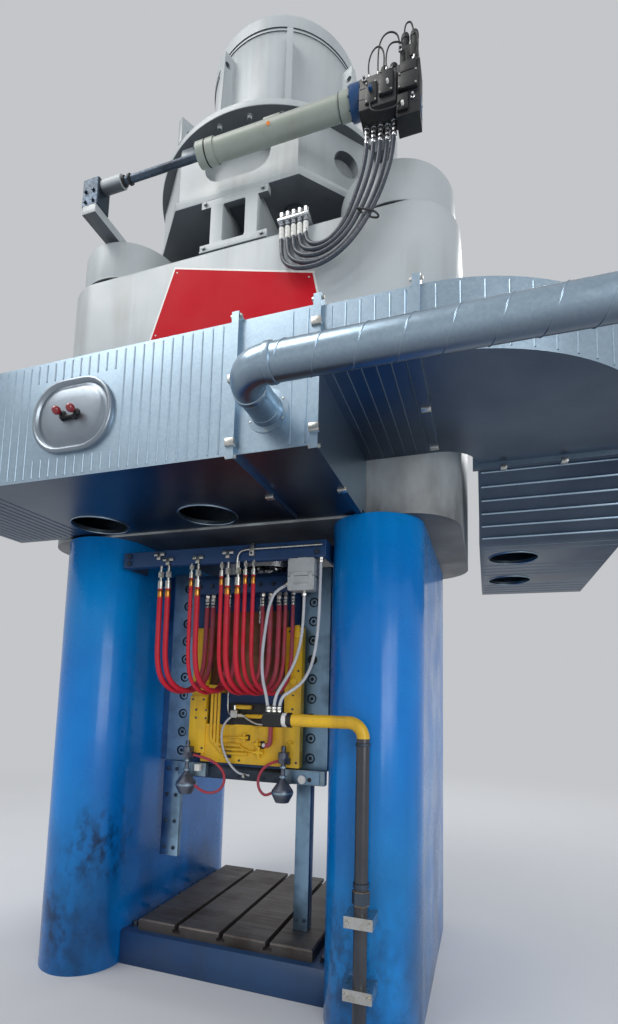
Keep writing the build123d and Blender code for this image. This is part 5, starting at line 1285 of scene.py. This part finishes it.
# Black boxes: painted shade of a pocket behind the short pipe and of the crosses beside them.
pocket_shade = boxes((-0.058, -0.4425, 1.378, 0.285, -0.4005, 1.505, 0.003),
               (-0.075, -0.447, 1.180, -0.030, -0.4395, 1.240, 0.004),
               (0.064, -0.447, 1.288, 0.086, -0.4395, 1.322, 0.004),
               (0.152, -0.449, 1.246, 0.180, -0.4395, 1.290, 0.004))
piece("painted_pocket_shade", pocket_shade, "ram", "black_paint")
short_pipe = [turned(rod(0.0125, 0.190), (0.064, -0.462, 1.4300), (1, 0, 0.02)),
              rounded_box((-0.008, -0.470, 1.470), (0.096, -0.440, 1.496), 0.009, 3)]
piece("short_yellow_pipe", short_pipe, "ram", "yellow_paint")
hub = [rounded_box((-0.034, -0.478, 1.418), (0.014, -0.446, 1.466), 0.008),
       turned(rod(0.0145, 0.030), (0.014, -0.462, 1.434), TO_RIGHT, 24, (0, 1)),
       turned(rod(0.010, 0.022), (0.044, -0.462, 1.432), TO_RIGHT),
       turned(rod(0.0085, 0.030), (-0.010, -0.462, 1.462), UP, 24, (0, 1)),
       turned([(0, 0.0105), (0.020, 0.0105), (0.024, 0.008)], (0.061, -0.4405, 1.084), TO_FRONT, 12, (0, 1))]
piece("air_hub", hub, "ram", "plated_steel", 30)
steel_bow = [(0.060, -0.476, 1.428), (0.095, -0.478, 1.408), (0.140, -0.480, 1.388), (0.190, -0.480, 1.386),
             (0.250, -0.478, 1.412), (0.300, -0.474, 1.422), (0.345, -0.462, 1.424)]
thin_drop = [(-0.064, -0.448, 1.640), (-0.063, -0.450, 1.560), (-0.062, -0.452, 1.470), (-0.050, -0.458, 1.440),
             (-0.030, -0.462, 1.436)]
piece("steel_pipes", [pipe(steel_bow, 0.0065, 10), pipe(thin_drop, 0.005, 8)], "ram", "plated_steel", 60)
red_line = [(0.222, -0.458, 1.420), (0.222, -0.458, 1.340), (0.221, -0.458, 1.284), (0.210, -0.458, 1.266),
            (0.186, -0.458, 1.266)]
piece("red_pipe", pipe(red_line, 0.013, 16), "ram", "red_rubber", 60)
white_ball = turned(ball(0.012, 0.1, pi - 0.1, 10), (0.184, -0.464, 1.269), TO_FRONT, 16)
piece("white_ball", white_ball, "ram", "plated_steel", look="white_edge")

# %% [markdown]
# Higher up, three pipes come down behind the plate to a rusty panel, yellow tags hang from the blocks, and
# screws hold the plate and the two blocks. They fill the shade between the hoses, where the photo shows
# small things everywhere, and a bare wall there would look unfinished.

# %% Panel, tags and screws on the slide
upper_fittings = []
for x in (0.058, 0.116, 0.170):
    upper_fittings += [turned(ferrule(0.011, 0.085), (x, -0.4195, 1.985), sides=16),
                       turned(rod(0.013, 0.018), (x, -0.4195, 2.072), six=(0, 1)),
                       turned(rod(0.008, 0.073), (x, -0.4195, 2.088), sides=12)]
piece("upper_fittings", upper_fittings, "ram", "bright_steel", 30)
panel = boxes((-0.200, -0.4085, 1.560, 0.292, -0.4005, 2.060, 0.002),
              (-0.150, -0.4125, 1.660, 0.030, -0.4080, 1.700, 0.002),
              (0.060, -0.4125, 1.790, 0.250, -0.4080, 1.806, 0.002))
piece("slide_rust_panel", panel, "ram", "dark_steel", look="rust_brown")
tags = boxes((-0.316, -0.440, 1.870, -0.284, -0.4335, 1.950, 0.003),
             (-0.252, -0.440, 1.880, -0.220, -0.4335, 1.960, 0.003),
             (0.352, -0.462, 1.890, 0.384, -0.452, 1.966, 0.004),
             (-0.281, -0.4545, 1.401, -0.197, -0.4520, 1.465, 0.010, 3))
tags.append(turned([(0, 0.026), (0.003, 0.026), (0.004, 0.022)], (-0.239, -0.4540, 1.433), TO_FRONT))
piece("yellow_tags", tags, "ram", "yellow_paint")
BLOCK_FACE, PLATE_FACE = -0.452, -0.440
tag_screws = spots((-0.273, -0.205), (-0.4545,), (1.409, 1.457))
block_screws = (spots((-0.300, -0.225), (BLOCK_FACE,), (1.230, 1.520))
                + spots((0.320, 0.380), (BLOCK_FACE,), (1.180, 1.700, 1.930))
                + spots((0.350,), (BLOCK_FACE,), (1.560, 1.480)))
plate_screws = spots((0.020, 0.240, -0.215), (PLATE_FACE,), (1.170,))
tooling_screws = front_screws(tag_screws + block_screws + plate_screws, 0.0065, 0.004)
piece("tooling_screws", tooling_screws, "ram", "dark_steel", 30)
coil = [(0, 0.022), (0.010, 0.022), (0.014, 0.014), (0.020, 0.014)]
block_caps = [turned(coil, (0.350, -0.452, z), TO_FRONT, 20) for z in (1.585, 1.640)]
piece("block_caps", block_caps, "ram", "yellow_paint", 30)

# %% [markdown]
# The clamps under the plate have a pale roller, and black discs on their faces are painted shade in place
# of bored holes. The dampers have rings and a white tag, and the slide's manifold has a row of plugs. All
# small, all of the same shapes as before.

# %% Clamp, damper and manifold details
clamp_face = boxes((0.352, -0.4445, 1.064, 0.520, -0.4395, 1.136, 0.003),
                   (-0.384, -0.4445, 1.064, -0.300, -0.4395, 1.136, 0.003))
piece("clamp_face", clamp_face, "ram", "worn_steel")
roller = turned([(0, 0.022), (0.004, 0.024), (0.012, 0.024), (0.016, 0.018)], (0.418, -0.4440, 1.090), TO_FRONT)
piece("clamp_rollers", roller, "ram", "plated_steel", look="white_edge")
# Black discs: painted shade of bored holes.
clamp_hole_shades = [turned(rod(0.0125, 0.0012), (0.460, -0.4440, 1.090), TO_FRONT),
               turned(rod(0.0105, 0.0012), (-0.335, -0.4440, 1.089), TO_FRONT)]
piece("clamp_hole_shades", clamp_hole_shades, "ram", "black_paint")
bell_rings, bell_links = [], []
for x in (-0.298, 0.318):
    bell_rings += [turned(band(0.0622, 0.0605, 0.012, 0.003), (x, -0.490, 1.012), sides=32),
                   turned(band(0.021, 0.0135, 0.016, 0.002), (x, -0.490, 1.096)),
                   nut(0.018, 0.0135, 0.014, 0.002, (x, -0.490, 1.150))]
    bell_links += [hex_bolt(0.012, (x, -0.490, 1.257)), hex_bolt(0.008, (x + 0.016, -0.470, 1.188), TO_FRONT),
                   *boxes((x - 0.026, -0.470, 1.168, x + 0.030, -0.440, 1.206, 0.006))]
piece("damper_rings", bell_rings, "ram", "dark_steel", 30, "pale_steel")
piece("damper_links", bell_links, "ram", "dark_steel", 30)
tag = boxes((-0.258, -0.476, 1.094, -0.222, -0.444, 1.136, 0.005))
piece("damper_tag", tag, "ram", "plated_steel", look="white_edge")
plugs = [hex_bolt(0.010, (x, -0.510, 2.205), TO_FRONT) for x in np.arange(-0.25, 0.39, 0.08)]
piece("manifold_plugs", plugs, "ram", "dark_steel", 25)
foot_screws = front_screws(spots((-0.10, 0.00, 0.16, 0.26), (-0.400,), (1.068,)), 0.010, 0.006, 16)
piece("foot_screws", foot_screws, "ram", "dark_steel", 30)
guide_screws = front_screws(spots((-0.515, -0.450), (-0.350,), (0.60, 0.76, 0.92, 1.08)), 0.012, 0.007, 16)
guide_screws += front_screws(spots((0.372, 0.420), (-0.350,), (0.30, 1.06)), 0.011, 0.006, 16)
piece("guide_screws", guide_screws, "frame", "dark_steel", 30)
bed_bolts = [hex_bolt(0.017, place) for place in spots((-0.585, 0.585), (-0.50, -0.25, 0.0, 0.25, 0.50), (0.180,))]
piece("bed_bolts", bed_bolts, "frame", "dark_steel", 25)

# %% [markdown]
# The solids come in as loose triangles with hard edges. A Weld joins their corners, and a narrow Bevel
# rounds the edges as on real plate, so that each edge catches a line of light. Smooth shading with hardened
# normals keeps the flats flat and the round noses round. The lists say which solid gets which finish, and
# how wide its edges are rounded; round and thin solids keep their edges.

# %% Give the solids their finish
SLOTS = {
    "blue_paint": "left_column right_column",
    "dark_blue_paint": "bed slide slide_manifold hose_rail",
    "grey_paint": "crown column_caps drive_pedestal drive_plate drive_housing drive_ring motor_drum drum_cap "
                  "cylinder_brackets",
    "pale_green_paint": "cylinder_tube",
    "yellow_paint": "spray_plate spray_pipes service_pipe",
    "black_paint": "dampers valve_block",
    "worn_steel": "bolster_plate guide_blocks front_gibs rear_gibs lower_guides",
    "dark_steel": "slide_foot die_clamps cylinder_rod hatch_door",
    "bright_steel": "screw hose_bulkhead",
    "plated_steel": "hose_fittings pipe_clamps",
    "cast_aluminium": "junction_box",
    "galvanised": "front_duct drop_box link_duct duct_bend side_duct duct_flanges branch_pipe duct_hangers",
}
SPECIAL = {"bolster_plate": "bolster_steel", "branch_pipe": "pipe_zinc", "die_clamps": "pale_steel",
           "dampers": "cast_grey"}
EDGES = {0.006: "crown bed", 0.005: "slide_foot", 0.002: "duct_hangers hose_bulkhead",
         0.004: "left_column right_column slide slide_manifold drive_plate drive_pedestal motor_drum die_clamps",
         0.003: "column_caps drive_ring spray_plate hose_rail valve_block cylinder_brackets lower_guides "
                "guide_blocks"}
widths = {name: width for width, names in EDGES.items() for name in names.split()}
slots = {name: slot for slot, names in SLOTS.items() for name in names.split()}
for name, slot in slots.items():
    solid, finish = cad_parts[name], finishes[SPECIAL.get(name, slot)]
    if not solid.material_slots:
        solid.data.materials.append(finish)
    for held in solid.material_slots:
        held.material = finish
    solid.data.polygons.foreach_set("use_smooth", np.ones(len(solid.data.polygons), bool))
    solid.modifiers.new("join", "WELD").merge_threshold = 1e-5
    if name in widths:
        edge = solid.modifiers.new("edge", "BEVEL")
        edge.width = widths[name]
        edge.segments = 2
        edge.angle_limit = radians(35)
        edge.harden_normals = True
    else:
        solid.modifiers.new("crease", "EDGE_SPLIT").split_angle = radians(35)
print("dressed solids:", len(slots), "with rounded edges:", len(widths))

# %% [markdown]
# The press stands in a plain, pale studio. A big floor takes its shadow, and further out it fades into the
# tone of the backdrop, so no edge shows behind the press. Only the camera and shiny metal see the backdrop's
# own tone, which therefore adds no light to the press.

# %% Studio floor
HALF = 60
floor_corners = [(-HALF, -HALF, 0), (HALF, -HALF, 0), (HALF, HALF, 0), (-HALF, HALF, 0)]
floor_mesh = bpy.data.meshes.new("floor")
floor_mesh.from_pydata(floor_corners, [], [(0, 1, 2, 3)])
floor_stuff = blank("floor_finish", 0.75, specular=0.2)
into_shader(floor_stuff, mixed(floor_stuff, noise(floor_stuff, 0.8, 4), rgb(212, 213, 215), rgb(218, 219, 221)))
floor_mesh.materials.append(floor_stuff)
BACKDROP = (*rgb(196, 198, 201), 1)
FADE_FROM, FADE_TO = 3.5, 9.0


def seen(stuff):
    """1 for what the camera or a shiny surface sees, and 0 for the light that falls on the press."""
    ray = wire(stuff, "LightPath").outputs
    return combined(stuff, ray["Is Camera Ray"], ray["Is Glossy Ray"], "MAXIMUM")


def chosen(stuff, share, first, second, output):
    """The first shader where the share is 0 and the second where it is 1, joined to the output."""
    both = wire(stuff, "MixShader", links={0: share, 1: first, 2: second})
    stuff.node_tree.links.new(both.outputs[0], stuff.node_tree.nodes[output].inputs["Surface"])


floor_place = wire(floor_stuff, "TexCoord").outputs["Object"]
floor_reach = wire(floor_stuff, "VectorMath", links={"Vector": floor_place}, operation="LENGTH").outputs["Value"]
far_floor = combined(floor_stuff, ramp(floor_stuff, floor_reach, FADE_FROM, FADE_TO), seen(floor_stuff))
glow = wire(floor_stuff, "Emission", {"Color": BACKDROP, "Strength": 1.0})
chosen(floor_stuff, far_floor, floor_stuff.node_tree.nodes["Principled BSDF"].outputs[0], glow.outputs[0],
       "Material Output")
floor = bpy.data.objects.new("floor", floor_mesh)
bpy.context.scene.collection.objects.link(floor)

print("floor fades from", FADE_FROM, "to", FADE_TO, "m")

# %% [markdown]
# The pale surroundings light the press from all sides, and three wide lamps give it form: a warm key from the
# upper left, a fill from the right and one from behind that lights the edges. Small lamps would be brighter
# for their power, but their hard shadows would cut the press into pieces.

# %% Surroundings and lamps
world = bpy.data.worlds.new("studio")
world.use_nodes = True
bpy.context.scene.world = world
sky = world.node_tree.nodes["Background"]
sky.inputs["Color"].default_value = (0.86, 0.9, 0.96, 1)
sky.inputs["Strength"].default_value = 0.50
shown = wire(world, "Background", {"Color": BACKDROP, "Strength": 1.0})
chosen(world, seen(world), sky.outputs[0], shown.outputs[0], "World Output")


def lamp(name, place, aim, size, power, tint=(1, 1, 1)):
    """A wide square lamp that looks at a point."""
    data = bpy.data.lights.new(name, "AREA")
    data.size, data.energy, data.color = size, power, tint
    made = bpy.data.objects.new(name, data)
    back, first, second = across(np.array(place, float) - np.array(aim, float))
    made.matrix_world = Matrix([[first[i], second[i], back[i], place[i]] for i in range(3)] + [[0, 0, 0, 1]])
    bpy.context.scene.collection.objects.link(made)


lamp("key", (-4.4, -5.6, 11.0), (0, 0, 3), 6, 600, (1.0, 0.98, 0.95))
lamp("fill", (7.0, -8.0, 3.6), (0.3, 0, 2.5), 5, 300)
lamp("back", (3.0, 8.0, 9.0), (0, 0, 3), 5, 480)
bpy.context.scene.view_settings.view_transform = "Standard"
print("lamps:", len(bpy.data.lights))

# %% [markdown]
